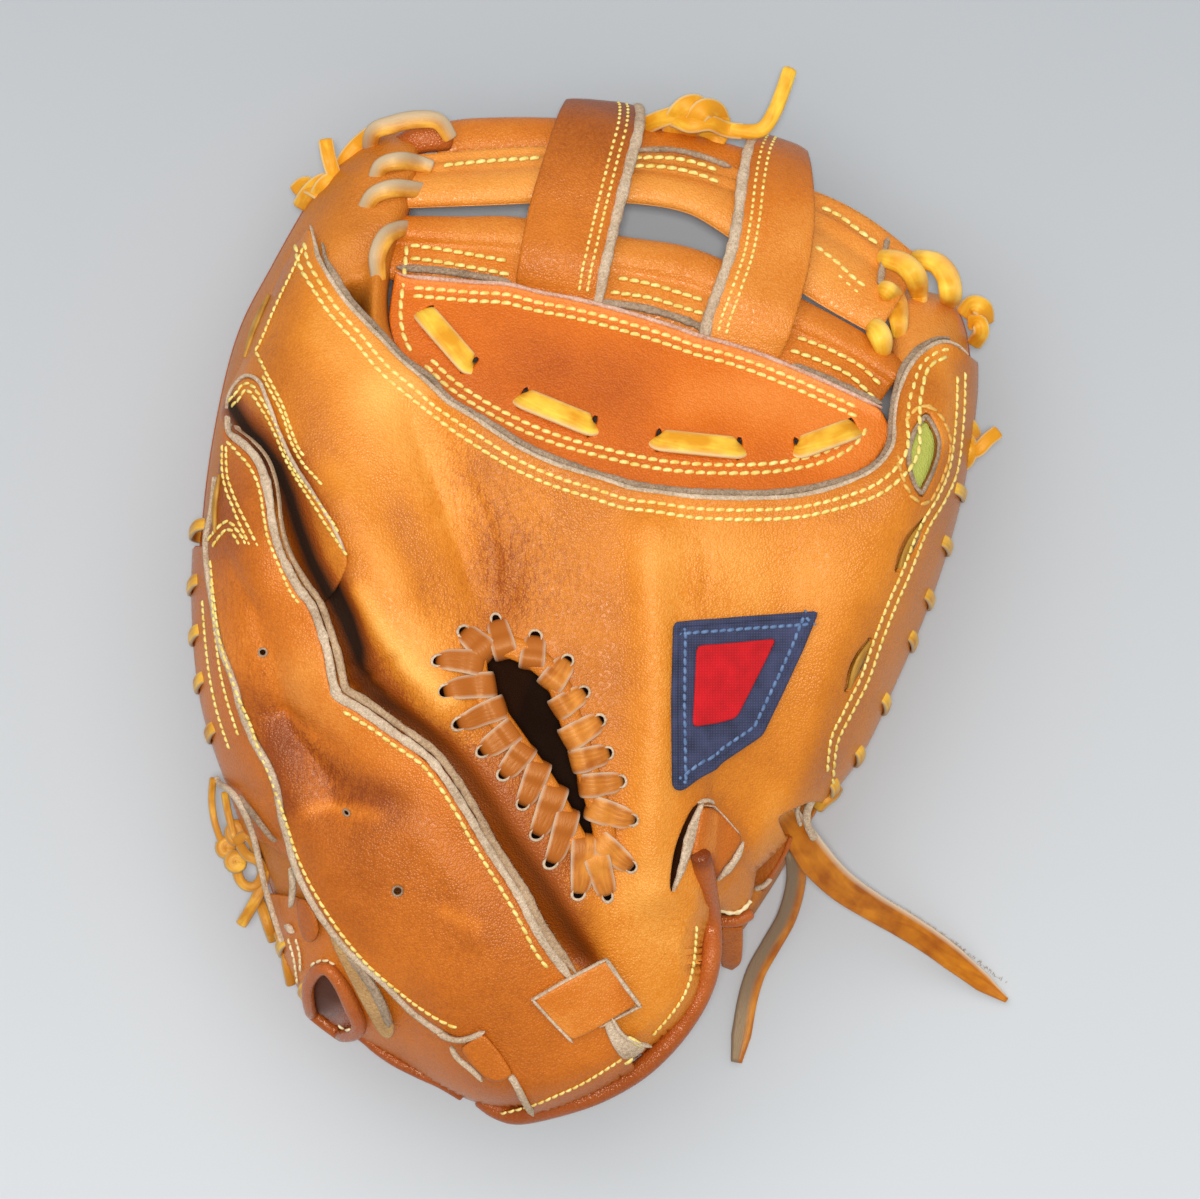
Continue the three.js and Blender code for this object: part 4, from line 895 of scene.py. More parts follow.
WIDTHS_ONE = ([0, 0.2, 0.5, 0.8, 0.92, 1], [1.0, 1.25, 1.0, 0.9, 0.7, 0.2])
WIDTHS_TWO = ([0, 0.9, 1], [0.7, 0.72, 0.4])
wrist_thong("wrist_thong_1", THONG_HIDE, WIDTHS_ONE, (0.1, 0.1), (-1, 0.66))
wrist_thong("wrist_thong_2", SPLIT_HIDE, WIDTHS_TWO, (-0.1, 0.1), (1, -0.2))


# Sewing: a stitch's length, width and height in millimetres, and its slant
STITCH_SIZE = np.array([3.8, 1.3, 1.0])
STITCH_LEAN = 0.13


def in_order(points, faces):
    """The same points and faces, in an order that repeats from run to run."""
    order = np.lexsort(points.round(4).T)
    place = np.argsort(order)
    turned = []
    for face in faces:
        corners = [int(place[corner]) for corner in face]
        first = corners.index(min(corners))
        turned.append(tuple(corners[first:] + corners[:first]))
    return points[order], sorted(turned)


def stitch_shape():
    """One plump stitch, bowed down at both ends: its points and faces."""
    deselect()
    bpy.ops.mesh.primitive_uv_sphere_add(segments=7, ring_count=5, radius=0.5, rotation=(0, math.pi / 2, 0))
    obj = bpy.context.object
    bpy.ops.object.transform_apply(location=False, rotation=True, scale=False)
    bpy.ops.object.mode_set(mode="EDIT")
    bpy.ops.mesh.select_all(action="SELECT")
    bpy.ops.transform.resize(value=tuple(STITCH_SIZE))
    bpy.ops.object.mode_set(mode="OBJECT")
    points = np.array([v.co[:] for v in obj.data.vertices])
    out = np.hypot(*(points[:, 1:] / (STITCH_SIZE[1:] / 2)).T)[:, None] + 1e-9
    points[:, 1:] *= out**-0.4
    points[:, 2] -= 0.10 * points[:, 0] ** 2
    faces = [tuple(f.vertices) for f in obj.data.polygons]
    bpy.data.objects.remove(obj)
    return in_order(points, faces)


STITCH, STITCH_FACES = stitch_shape()


def sew(name, seams, pitch=2.8, thread=THREAD):
    """Rows of stitches. A seam is a line in plan, a lift, what it lies on and, where it has its own, its pitch."""
    points, faces = [], []
    for line, lift, on, *own in seams:
        step = own[0] if own else pitch
        size = np.array([0.97 * step, 0.46 + 0.30 * step, 0.66 + 0.09 * step]) / STITCH_SIZE
        spots, ups = lay(along(line, step / 2), lift, on)
        for k in range(1, len(spots) - 1, 2):
            way = spots[k + 1] - spots[k - 1]
            long = min(np.linalg.norm(way) / step, 1.6)
            way = way / (np.linalg.norm(way) + 1e-9)
            side = np.cross(ups[k], way)
            way, side = way + side * STITCH_LEAN, side - way * STITCH_LEAN
            side = side * size[1] / (np.linalg.norm(side) + 1e-9)
            turned = np.stack([way * size[0] * long, side, ups[k] * size[2]])
            faces += [tuple(i + len(points) * len(STITCH) for i in f) for f in STITCH_FACES]
            points.append(spots[k] + STITCH @ turned)
    return finish_piece(mesh_piece(name, np.concatenate(points), faces, [thread]))


def at(x, y, z):
    """A point from its pixel and its height."""
    return (*plan((x, y))[0], z)


def route(*rows):
    """Points from their pixels and heights."""
    return [at(*row) for row in rows]


def creases(spots, lines):
    """Small folds drawn along lines: rows are a line in plan, a width and a rise."""
    height = np.zeros(len(spots))
    for line, width, rise in lines:
        height += rise * np.exp(-((away_from(spots, along(line, 1.0)) / width) ** 2))
    return height


def shell(top, bottom):
    """A closed skin between two grids of points."""
    rows, columns = top.shape[:2]
    points = np.concatenate([top.reshape(-1, 3), bottom.reshape(-1, 3)])
    at = np.arange(2 * rows * columns).reshape(2, rows, columns)

    def quads(a, b, c, d):
        return np.stack([a.ravel(), b.ravel(), c.ravel(), d.ravel()], -1).tolist()

    t, b = at
    faces = quads(t[:-1, :-1], t[:-1, 1:], t[1:, 1:], t[1:, :-1])
    faces += quads(b[:-1, :-1], b[1:, :-1], b[1:, 1:], b[:-1, 1:])
    faces += quads(t[1:, 0], b[1:, 0], b[:-1, 0], t[:-1, 0]) + quads(t[:-1, -1], b[:-1, -1], b[1:, -1], t[1:, -1])
    faces += quads(t[0, :-1], b[0, :-1], b[0, 1:], t[0, 1:]) + quads(t[-1, 1:], b[-1, 1:], b[-1, :-1], t[-1, :-1])
    return points, faces


def recalculated(obj):
    """The piece with its doubles merged and its normals turned outwards."""
    deselect()
    bpy.context.view_layer.objects.active = obj
    obj.select_set(True)
    bpy.ops.object.mode_set(mode="EDIT")
    bpy.ops.mesh.select_all(action="SELECT")
    bpy.ops.mesh.remove_doubles(threshold=1e-6)
    bpy.ops.mesh.normals_make_consistent(inside=False)
    bpy.ops.object.mode_set(mode="OBJECT")
    obj.select_set(False)
    return obj


def palm():
    """Palm, rim and hollow for the hand, one skin."""
    us = np.linspace(0, LAST, LAST * 12 + 1)
    vs = np.concatenate([np.linspace(0, 0.2, 14, endpoint=False), np.linspace(0.2, 1, 40)])
    u, v = (grid.ravel() for grid in np.meshgrid(us, vs, indexing="ij"))
    top = pad_top_point(u, v).reshape(len(us), len(vs), 3)
    bottom = palm_point(u, v).reshape(len(us), len(vs), 3)
    points, faces = shell(top, bottom)
    s = section_at(u)
    hand = s["mouth"] * (1 - ease(0.80, 0.93, v)) * ease(6, 14, v * s["reach"])
    hole = away_from(pad_top_point(u, v)[:, :2], FINGER_HOLE)
    thumb_side = ease(17.0, 19.0, u)
    # Painted shade inside the hand's opening and round the finger hole; the thumb side's leather is paler
    shade = 0.30 * thumb_side - 0.7 * hand - 1.45 * (1 - ease(14, 36, hole))
    tones = {"tone": np.concatenate([shade, np.zeros(len(u))])}
    obj = mesh_piece("palm_leather", points, faces, [PALM_TAN], tones=tones)
    obj = finish_piece(recalculated(obj), ["palm_pad"])


# Outlines in plan, in millimetres
CROTCH_EDGE = along(marked("back", TOP_ONE,
    (312, 228), (316, 245), (322, 265), (345, 302), (370, 330), (400, 362), (440, 396), (480, 424),
    (520, 450), (560, 468), (600, 480), (640, 492), (700, 499), (780, 499), (830, 490), (870, 474),
    (892, 450), (896, 420),
    (900, 395), (914, 362), (938, 344), (955, 346), (965, 355)), 1.3)
BACK_LOWER_LEFT = [
    (19, -139), (8, -133), (1, -121), (-8, -110), (-15, -93.5), (-26, -76.5), (-35, -63), (-44, -52),
    (-54, -42.5), (-64, -36), (-76, -31), (-79.5, -18), (-82.5, -6), (-86.5, 6), (-90, 14.5), (-95, 30),
    (-101, 44), (-106, 54), (-109, 60), (-107.4, 65), (-103.6, 71.6), (-100.4, 79), (-95.6, 90.4),
    (-90.6, 101.6), (-86, 110.6),
]
BACK_LEFT_SEAM = [(-112, 56), (-107.4, 65), (-103.6, 71.6), (-100.4, 79), (-95.6, 90.4),
    (-90.6, 101.6), (-86, 110.6)]
BACK_RIGHT = [(135, 70), (112, -50), (76, -58), (66, -56), (56, -61), (70, -90), (30, -160)]
BACK_OUTLINE = np.concatenate([CROTCH_EDGE, BACK_RIGHT, BACK_LOWER_LEFT])
FINGER_HOLE = marked(
    "back", TOP_ONE,
    (483, 660), (490, 652), (520, 658), (548, 680), (562, 715), (580, 770), (597, 830), (592, 848),
    (580, 832), (555, 785), (520, 735), (490, 690))
EYE = marked(
    "back", TOP_ONE,
    (925, 413), (934, 424), (941, 440), (940, 456), (933, 476), (922, 497), (913, 486), (907, 468), (906, 450),
    (912, 430))
# Creases of the back: a line in plan, a width and a rise
BACK_CREASES = [
    (plan((470, 480), (490, 520), (500, 560), (498, 590)), 1.2, -0.5),
    (plan((440, 500), (470, 540), (485, 590)), 1.3, -0.5),
    (plan((500, 480), (520, 520), (525, 560), (515, 600)), 1.2, -0.45),
    (plan((410, 430), (430, 480), (450, 530), (470, 590)), 2.2, -0.7),
    (plan((530, 500), (550, 530), (555, 565)), 1.1, -0.35),
    (plan((356, 575), (382, 622), (412, 668), (445, 700)), 2.8, 1.1),
    (plan((355, 690), (375, 672), (400, 655)), 1.2, -1.2),
    (plan((360, 665), (372, 680), (385, 690)), 1.2, -1.0),
    (plan((700, 540), (705, 570), (700, 600)), 1.4, -0.4),
    (plan((650, 560), (655, 700), (648, 850)), 3.5, 0.9),
    (plan((720, 800), (740, 820), (745, 850)), 1.8, -0.8),
]


def strokes(spots, lines):
    """Soft strokes along lines: rows are a line of pixels, a width and a strength."""
    found = np.zeros(len(spots))
    for line, width, strength in lines:
        found += strength * np.exp(-((away_from(spots, plan(*line)) / width) ** 2))
    return found


# Where the back is paler, above 0, from wear and painted highlights on its ridges, or darker with painted shade in
# its valleys and beside the flap: a line of pixels, a width and a strength
BACK_TONES = [
    ([(390, 395), (430, 450), (460, 500)], 13, 0.34),
    ([(330, 330), (370, 400), (400, 440)], 12, 0.16),
    ([(655, 560), (665, 700), (650, 880)], 8, 0.24),
    ([(770, 560), (900, 545)], 14, 0.10),
    ([(640, 540), (720, 560)], 12, 0.14),
    ([(352, 480), (385, 560), (420, 640), (455, 690)], 8, 0.16),
    ([(366, 590), (395, 640), (425, 678), (450, 698)], 2.6, 0.34),
    ([(285, 280), (290, 350), (318, 420)], 10, -0.20),
    ([(480, 480), (505, 560), (508, 606)], 8, -0.30),
    ([(478, 650), (505, 700), (575, 850)], 8, -0.30),
    ([(300, 470), (330, 560), (360, 640), (390, 690), (440, 740), (500, 800), (560, 900), (585, 950)], 5.5, -0.42),
    ([(330, 520), (365, 640), (395, 690)], 7, -0.20),
    ([(700, 800), (735, 845), (728, 890)], 6, -0.16),
    ([(860, 620), (842, 700), (815, 770)], 7, -0.14),
    ([(765, 790), (755, 850)], 5, 0.10),
    ([(640, 900), (660, 960), (640, 1000)], 9, 0.12),
    ([(400, 520), (420, 600)], 6, -0.18),
    ([(932, 350), (948, 400), (934, 440)], 3.5, 0.26),
]
# Where the back's grain crinkles most
BACK_WRINKLES = [
    ([(450, 470), (500, 560), (510, 605)], 12, 1.1),
    ([(540, 500), (560, 580)], 12, 0.7),
    ([(430, 600), (450, 640)], 9, 0.8),
    ([(440, 700), (500, 790), (560, 880)], 7, 0.9),
    ([(360, 660), (400, 690)], 8, 0.9),
    ([(610, 900), (680, 930)], 10, 0.5),
    ([(690, 530), (710, 600)], 8, 0.6),
]


FOLD_EDGE = marked(
    "back", TOP_ONE,
    (236, 408), (247, 424), (266, 446), (282, 468), (294, 498), (304, 530), (316, 562), (332, 592),
    (346, 620), (356, 650), (358, 684), (376, 700), (398, 715), (424, 733), (446, 752), (466, 775),
    (486, 806), (504, 838), (522, 862), (546, 896), (570, 936), (592, 966))


def back_tone(spots):
    """The back's wear and painted highlights, and the painted shade of the deep fold beside the flap."""
    share = (spots[:, 1] - plan((0, 700))[0, 1]) / 60
    depth = mix(0.5, 1.55, np.clip(share + 0.25, 0, 1))
    reach = mix(3.0, 3.8, np.clip(share, 0, 1))
    return strokes(spots, BACK_TONES) - depth * np.exp(-((away_from(spots, FOLD_EDGE) / reach) ** 2))


def back_curl(spots, _distance):
    """What the back's edges and folds do to its height."""
    lip = 1.1 * np.exp(-((away_from(spots, CROTCH_EDGE) / 2.2) ** 2))
    sunk = 1.9 * np.exp(-((away_from(spots, np.array(BACK_LEFT_SEAM)) / 3.0) ** 2))
    return lip - sunk - 1.6 * np.exp(-((away_from(spots, FOLD_EDGE) / 3.0) ** 2)) + creases(spots, BACK_CREASES)


def lens(a, b, half):
    """A lens-shaped outline between two pixels."""
    a, b = marked("back", TOP_ONE, a, b)
    t = np.linspace(0, 1, 9)
    side = np.array([-(b - a)[1], (b - a)[0]]) / np.linalg.norm(b - a)
    bow = np.sin(np.pi * t)[:, None] * half * side
    line = a + (b - a) * t[:, None]
    return np.concatenate([line + bow, (line - bow)[-2:0:-1]])


def punched(x, y, radius, on="back", lift=TOP_ONE):
    """A round hole at a pixel."""
    turns = np.linspace(0, 2 * np.pi, 10, endpoint=False)
    return marked(on, lift, (x, y)) + radius * np.stack([np.cos(turns), np.sin(turns)], -1)


# The whipping lace of the finger hole, turn by turn: its outer and its inner end, in pixels
WHIPS = [
    ((441, 660), (482, 664)), ((449, 690), (492, 684)), ((462, 722), (502, 706)), ((485, 749), (514, 728)),
    ((505, 772), (526, 746)), ((524, 801), (540, 764)), ((538, 831), (556, 788)), ((552, 859), (568, 812)),
    ((579, 890), (584, 838)), ((607, 893), (594, 848)), ((630, 864), (598, 838)), ((631, 818), (592, 806)),
    ((620, 780), (584, 784)), ((607, 752), (576, 760)), ((599, 720), (568, 738)), ((583, 692), (558, 708)),
    ((567, 661), (550, 684)), ((536, 637), (532, 664)), ((497, 620), (506, 652)), ((465, 632), (488, 654)),
]
PUNCHES = [punched(*(np.array(outer) + (np.array(outer) - np.array(inner)) * 0.03), 1.6) for outer, inner in WHIPS]
SLOTS = [lens((895, 572), (925, 518), 1.9), lens((845, 692), (870, 638), 1.8)]
SLIT = marked(
    "back", TOP_ONE, (700, 802), (692, 818), (684, 840), (680, 862), (673, 890), (671, 880), (674, 855),
    (680, 834), (690, 812))
palm()
cut_leather("back_panel", BACK_OUTLINE, LAYER_ONE, "back", TAN, ["main_back"],
            [FINGER_HOLE, EYE, SLIT, *SLOTS, *PUNCHES], spacing=1.3, curl=back_curl, tone=back_tone,
            wrinkle=lambda spots: strokes(spots, BACK_WRINKLES))

STRIP_EDGE = marked(
    "back", TOP_ONE + 1,
    (227, 408), (229, 396), (236, 384), (247, 376), (260, 382), (268, 400), (275, 418), (284, 441),
    (297, 467), (315, 494), (332, 521), (347, 552))
STRIP_HIDDEN = marked(
    "back", TOP_ONE + 1,
    (350, 562), (346, 574), (339, 586), (330, 600), (318, 606), (300, 584), (290, 550), (281, 510),
    (268, 480), (250, 458), (234, 430))


def strip_tone(spots):
    """Painted shade where the strip goes down into the fold."""
    return -0.06 - 1.6 * np.exp(-((away_from(spots, FOLD_EDGE) / 3.0) ** 2))


cut_leather("strip_leather", np.concatenate([STRIP_EDGE, STRIP_HIDDEN]), TOP_ONE - 0.15, "back",
            TAN,
            ["strip_panel"], spacing=1.4, thickness=1.1, rounding=0.6, tone=strip_tone)
PINKY_OUTLINE = [
    (-112, 19), (-105, 18), (-103.5, 4), (-100, -14), (-94.5, -30), (-90, -43), (-88, -56), (-86, -66),
    (-84, -76), (-92, -70), (-97, -68), (-112, -60), (-130, -40), (-130, 20),
]
cut_leather("pinky_leather", PINKY_OUTLINE, LAYER_ONE, "flap", FLAP_TAN, ["pinky_panel"])
HEEL_OUTLINE = [
    (-85, -85), (-76, -88), (-65, -101), (-54, -111), (-46, -117), (-31, -123), (-19, -137), (-13, -150),
    (-20, -165), (-60, -150), (-90, -130), (-105, -95), (-98, -84),
]
PINKY_HOLE = [(-82, -112), (-78.5, -111.5), (-73.5, -118), (-69.5, -124), (-73, -125.5), (-79.5, -120)]
cut_leather("heel_leather", HEEL_OUTLINE, LAYER_ONE, "flap", FLAP_TAN, ["heel_panel"], [PINKY_HOLE])

FLAP_UPPER = along(marked("flap", TOP_TWO,
    (224, 418), (226, 434), (240, 445), (254, 460), (262, 478), (267, 500), (270, 522), (276, 545),
    (284, 565), (297, 590), (310, 607), (319, 630), (326, 655), (330, 680), (335, 696), (344, 703),
    (357, 710), (375, 722), (393, 735), (411, 747), (428, 760), (441, 776), (454, 795), (467, 816),
    (480, 838), (494, 860), (507, 880), (519, 900), (530, 922), (544, 946),
    (562, 970), (576, 988)), 1.3)
FLAP_LOWER = along(marked("flap", TOP_TWO,
    (480, 1030), (460, 1037), (440, 1028), (410, 1006), (385, 980), (358, 956), (335, 930), (315, 900),
    (300, 870), (292, 842), (285, 815), (280, 785), (270, 760), (256, 736), (245, 710), (240, 690),
    (235, 675), (222, 640),
    (215, 600), (210, 570), (208, 540), (214, 510), (218, 470), (222, 435)), 1.3)
FLAP_OUTLINE = np.concatenate([
    FLAP_UPPER, [(5, -117), (10, -128), (14, -135), (18, -150),
    (-20, -165), (-14, -149), (-20, -140), (-27, -132)],
    FLAP_LOWER])
FLAP_CREASES = [
    (plan((300, 735), (330, 760), (370, 790), (400, 800)), 3.5, -1.1),
    (plan((290, 700), (320, 720), (352, 745)), 2.6, -0.9),
    (plan((265, 560), (300, 640), (320, 700)), 5.0, 1.2),
    (plan((246, 560), (262, 600), (270, 640)), 1.4, -0.5),
    (plan((420, 830), (460, 880), (480, 930)), 4.0, 0.9),
]


# Where the flap is paler from wear and scuffs, or darker with painted shade along its creases
FLAP_TONES = [
    ([(285, 560), (315, 660)], 8, 0.16),
    ([(300, 740), (345, 770), (390, 800)], 8, -0.34),
    ([(262, 690), (282, 740), (292, 800)], 6, -0.30),
    ([(300, 680), (345, 715), (430, 780)], 6, 0.12),
    ([(380, 860), (500, 960)], 20, -0.10),
    ([(420, 1000), (560, 1080)], 12, -0.06),
    ([(318, 808), (350, 812), (384, 814)], 2.6, 0.34),
    ([(450, 905), (478, 918)], 2.2, 0.22),
    ([(352, 1010), (380, 1040)], 3.0, 0.14),
    ([(235, 480), (260, 560), (300, 640)], 8, -0.14),
    ([(225, 470), (240, 540)], 7, -0.12),
]
FLAP_WRINKLES = [
    ([(290, 720), (330, 760), (360, 800)], 10, 1.0),
    ([(440, 900), (500, 1000)], 16, 0.4),
    ([(250, 590), (265, 660)], 8, 0.7),
]


FLAP_HOLES = [
    punched(x, y, radius, "flap", TOP_TWO) for x, y, radius in ((265, 652, 1.1), (399, 889, 1.4), (348, 811, 1.0))]
cut_leather("flap_leather", FLAP_OUTLINE, LAYER_TWO, "flap", FLAP_TAN, ["finger_flap"],
            FLAP_HOLES, 1.35,
            curl=lambda spots, _distance: creases(spots, FLAP_CREASES),
            tone=lambda spots: strokes(spots, FLAP_TONES),
            wrinkle=lambda spots: strokes(spots, FLAP_WRINKLES))


# Raw suede edges, fibrous and a little uneven
chance = np.random.default_rng(7)


def raggedness(count):
    """An unevenness that runs softly from one station to the next."""
    return np.convolve(chance.normal(0, 1, count + 4), np.ones(3) / 3, "same")[2:-2]


def suede_edge(name, line, width, lift, on, slot="tan_leather", finish=SUEDE, height=1.8):
    """A raw edge along a line in plan, of one width or of widths evenly spaced along it."""
    stations = along(line, 0.8)
    ragged = raggedness(len(stations)) * 0.13
    share = np.linspace(0, 1, len(stations))
    ends = ease(0, 0.04, np.minimum(share, 1 - share)) * 0.7 + 0.3
    widths = np.interp(share, np.linspace(0, 1, len(np.atleast_1d(width))), np.atleast_1d(width))
    points, ups = lay(stations, lift, on)
    scale = widened(widths * (1 + ragged) * ends)
    return sweep(name, points, ups, rounded(1, height, 12, 2.6), finish, slot, scale=scale)


def fringe(name, points, ups, aim, count, length, finish=SUEDE):
    """Loose fibres that stand out of a raw edge: aim is 1 for the line's left and -1 for its right."""
    way = np.gradient(points, axis=0)
    way /= np.linalg.norm(way, axis=1, keepdims=True)
    side = np.cross(ups, way) * aim
    spots, faces = [], []
    for k in chance.integers(1, len(points) - 1, count):
        lean = side[k] + way[k] * chance.normal(0, 0.45) + ups[k] * chance.normal(0.25, 0.35)
        lean /= np.linalg.norm(lean)
        root = points[k] + side[k] * chance.uniform(-0.3, 0.3) + ups[k] * chance.uniform(-0.7, 0.5)
        thick = chance.uniform(0.07, 0.13)
        bend = np.cross(lean, ups[k]) * chance.normal(0, 0.25)
        reach = length * chance.uniform(0.4, 1.0)
        first = len(spots)
        for share, wide in ((0, 1.0), (0.55, 0.75)):
            centre = root + (lean * share + bend * share**2) * reach
            for turn in (0, 2.1, 4.2):
                out = ups[k] * math.cos(turn) + np.cross(lean, ups[k]) * math.sin(turn)
                spots.append(centre + thick * wide * out)
        spots.append(root + (lean + bend) * reach)
        faces += [(first + i, first + (i + 1) % 3, first + 3 + (i + 1) % 3, first + 3 + i) for i in range(3)]
        faces += [(first + 3 + i, first + 3 + (i + 1) % 3, first + 6) for i in range(3)]
        faces.append((first + 2, first + 1, first))
    finish_piece(recalculated(mesh_piece(name, np.array(spots), faces, [finish])))


def fringe_along(name, line, lift, on, aim, count, length, finish=SUEDE):
    """Loose fibres beside a line in plan."""
    fringe(name, *lay(along(line, 0.5), lift, on), aim, count, length, finish)


CROTCH_FIBRES = beside(CROTCH_EDGE[8:-8], 0.8)
FLAP_UPPER_FIBRES = beside(FLAP_UPPER[8:-8], np.linspace(2.6, 3.9, len(FLAP_UPPER) - 16))
FLAP_LOWER_FIBRES = beside(FLAP_LOWER[8:-12], 1.4)
FLAP_UPPER_WIDTHS = [2.2, 2.8, 2.6, 2.8, 3.0, 2.8, 2.6, 2.6, 2.6, 2.6]
FLAP_UNDER_WIDTHS = [0.4, 0.8, 1.6, 2.4, 2.4, 2.4, 2.6, 2.8, 2.8]
FLAP_LOWER_WIDTHS = [2.0, 2.2, 2.6, 2.4, 2.0, 1.6]
STRIP_WIDTHS = [0.8, 1.2, 1.3, 1.2, 1.0, 0.8]
suede_edge("crotch_suede", beside(CROTCH_EDGE, 0.1), 1.6, TOP_ONE + 0.5, "back", height=1.5)
# The crotch's under edge is the darker suede, as painted shade under the back's edge
suede_edge("crotch_suede_under", beside(CROTCH_EDGE[4:-4], 1.7), 2.4, LAYER_ONE + 1.6, "back", finish=GREY_SUEDE,
           height=2.2)
suede_edge("flap_upper_suede", beside(FLAP_UPPER, 0.9), FLAP_UPPER_WIDTHS, TOP_TWO - 0.5, "flap", height=2.0)
# The under edge is the darker suede, as painted shade beneath the flap's raw edge
suede_edge("flap_upper_suede_under", beside(FLAP_UPPER[3:-2], 3.1), FLAP_UNDER_WIDTHS, LAYER_TWO + 1.1, "flap",
           finish=SHADED_FOLD_SUEDE, height=2.4)
suede_edge("flap_lower_suede", beside(FLAP_LOWER[4:-10], 0.7), FLAP_LOWER_WIDTHS, TOP_TWO - 0.6, "flap",
           height=2.2)
fringe_along("flap_upper_fibres", FLAP_UPPER_FIBRES, LAYER_TWO + 1.3, "flap", 1, 520, 1.6, SHADED_FOLD_SUEDE)
fringe_along("flap_lower_fibres", FLAP_LOWER_FIBRES, TOP_TWO - 0.6, "flap", 1, 260, 1.1)
fringe_along("crotch_fibres", CROTCH_FIBRES, TOP_ONE + 0.3, "back", 1, 420, 1.1)
suede_edge("strip_edge_suede", along(STRIP_EDGE, 1.0), STRIP_WIDTHS, TOP_ONE + 0.9, "back", height=1.1)


def flap_punches():
    """The raw rims of the flap's lace holes."""
    rims = []
    for k, hole in enumerate(FLAP_HOLES):
        points, ups = lay(along(hole, 0.5, closed=True), TOP_TWO - 0.05, "flap")
        rims.append(sweep(f"flap_rim_{k}", points, ups, disc(0.34, 8), GREY_SUEDE, None, closed=True))
    finish_piece(join(rims, "flap_punches"))


flap_punches()

# Seams: a pitch, and a row of pixels
THUMB_SEAMS = [
    (2.5, [
        (965, 372), (963, 420), (957, 469), (944, 500), (926, 530), (908, 575), (895, 604), (881, 640),
        (867, 680), (850, 714), (836, 744), (832, 786)]),
    (2.5, [
        (957, 376), (955, 420), (949, 466), (937, 496), (919, 526), (901, 571), (888, 600), (874, 636),
        (860, 676), (843, 710), (830, 738), (826, 776)]),
]
FINGER_TIP_SEAMS = [
    (2.1, [
        (264, 376), (271, 390), (281, 408), (287, 423), (291, 437), (298, 453), (307, 467),
        (319, 480), (324, 486)]),
    (2.1, [(257, 352), (262, 362), (272, 382), (280, 397), (286, 410), (293, 430), (300, 448), (308, 460)]),
    (2.1, [(304, 248), (290, 278), (276, 308), (262, 342), (256, 352)]),
]
STRIP_SEAMS = [
    (2.1, [
        (229, 402), (237, 394), (245, 385), (254, 387), (262, 398), (269, 410), (277, 424), (283, 440),
        (288, 454), (295, 468), (304, 482), (314, 494), (324, 508), (334, 522), (342, 536)]),
    (2.1, [
        (232, 407), (240, 400), (247, 391), (254, 396), (262, 408), (270, 421), (277, 435), (283, 450),
        (290, 465), (300, 482), (310, 497), (320, 512), (330, 528), (341, 544), (349, 556)]),
]
FLAP_SEAMS = [
    (2.1, [
        (228, 441), (240, 454), (250, 465), (258, 479), (263, 495), (266, 515), (271, 540), (280, 563),
        (292, 590), (304, 606)]),
    (2.1, [(224, 445), (224, 470), (228, 490), (234, 505), (240, 520), (248, 537), (256, 551), (263, 565)]),
    (2.1, [(228, 446), (229, 474), (234, 491), (241, 508), (248, 522), (256, 538), (264, 552)]),
    (2.1, [
        (209, 541), (220, 528), (230, 522), (238, 529), (246, 540), (254, 556), (263, 573),
        (272, 590), (280, 604)]),
    (2.1, [
        (214, 547), (223, 535), (231, 530), (239, 540), (247, 555), (256, 571), (265, 586), (273, 602)]),
    (2.8, [
        (345, 710), (358, 718), (376, 729), (393, 742), (411, 754), (424, 764), (437, 780), (449, 797),
        (461, 817), (472, 838), (486, 861), (499, 882), (511, 902), (522, 922), (535, 948), (548, 966)]),
    (2.5, [
        (212, 560), (216, 600), (222, 640), (238, 690), (256, 735), (272, 775), (286, 815), (298, 852),
        (316, 890), (340, 928), (368, 962), (400, 990), (430, 1012), (458, 1026)]),
    (2.1, [(204, 600), (207, 640), (212, 680), (220, 716), (232, 752)]),
    (2.1, [(213, 580), (216, 620), (221, 664), (229, 700), (240, 735)]),
    (2.1, [(500, 1112), (532, 1104), (556, 1094), (580, 1083), (602, 1070), (622, 1057)]),
]
HEM_SEAMS = [(2.1, [(652, 1034), (668, 1016), (681, 998), (689, 980), (693, 962), (695, 942), (696, 924)])]
# The crotch's double seam: how far in it runs, and how far beside the eye
CROTCH_SEAMS = ((2.9, 2.1), (5.5, 4.3))
CROTCH_PITCH = 2.9


def back_seams():
    """All the rows of stitches on the back, the strip and the flap."""
    near_eye = ease(0.80, 0.92, np.linspace(0, 1, len(CROTCH_EDGE)))
    seams = [(beside(CROTCH_EDGE, -mix(wide, narrow, near_eye))[3:-3], TOP_ONE + 0.25, "back", CROTCH_PITCH)
             for wide, narrow in CROTCH_SEAMS]
    for rows, on, top, above in (
        (THUMB_SEAMS, "back", TOP_ONE, 0.25),
        (FINGER_TIP_SEAMS, "back", TOP_ONE, 0.25),
        (STRIP_SEAMS, "back", TOP_ONE + 1, 0.2),
        (FLAP_SEAMS, "flap", TOP_TWO, 0.25),
        (HEM_SEAMS, "back", TOP_ONE, 0.25),
    ):
        seams += [(marked(on, top, *pixels), top + above, on, pitch) for pitch, pixels in rows]
    sew("back_stitches", seams)


back_seams()

# Edging of the finger hole: the leather rolled round, and a flat lace whipped over it
HOLE_RING = along(FINGER_HOLE, 1.0, closed=True)
EDGING_WIDTH, EDGING_THICKNESS = 7.0, 3.4
# Whips to the left of this line in plan are darker
DARK_WHIPS = -9


def edging():
    middle = softened(beside_ring(HOLE_RING, 2.2), 1)
    points, ups = lay(middle, TOP_ONE + 0.2, "back")
    section = rounded(EDGING_WIDTH, EDGING_THICKNESS, 16, 2.4)
    sweep("hole_edging", points, ups, section, TAN, "tan_leather", ["finger_hole_edge"], closed=True)


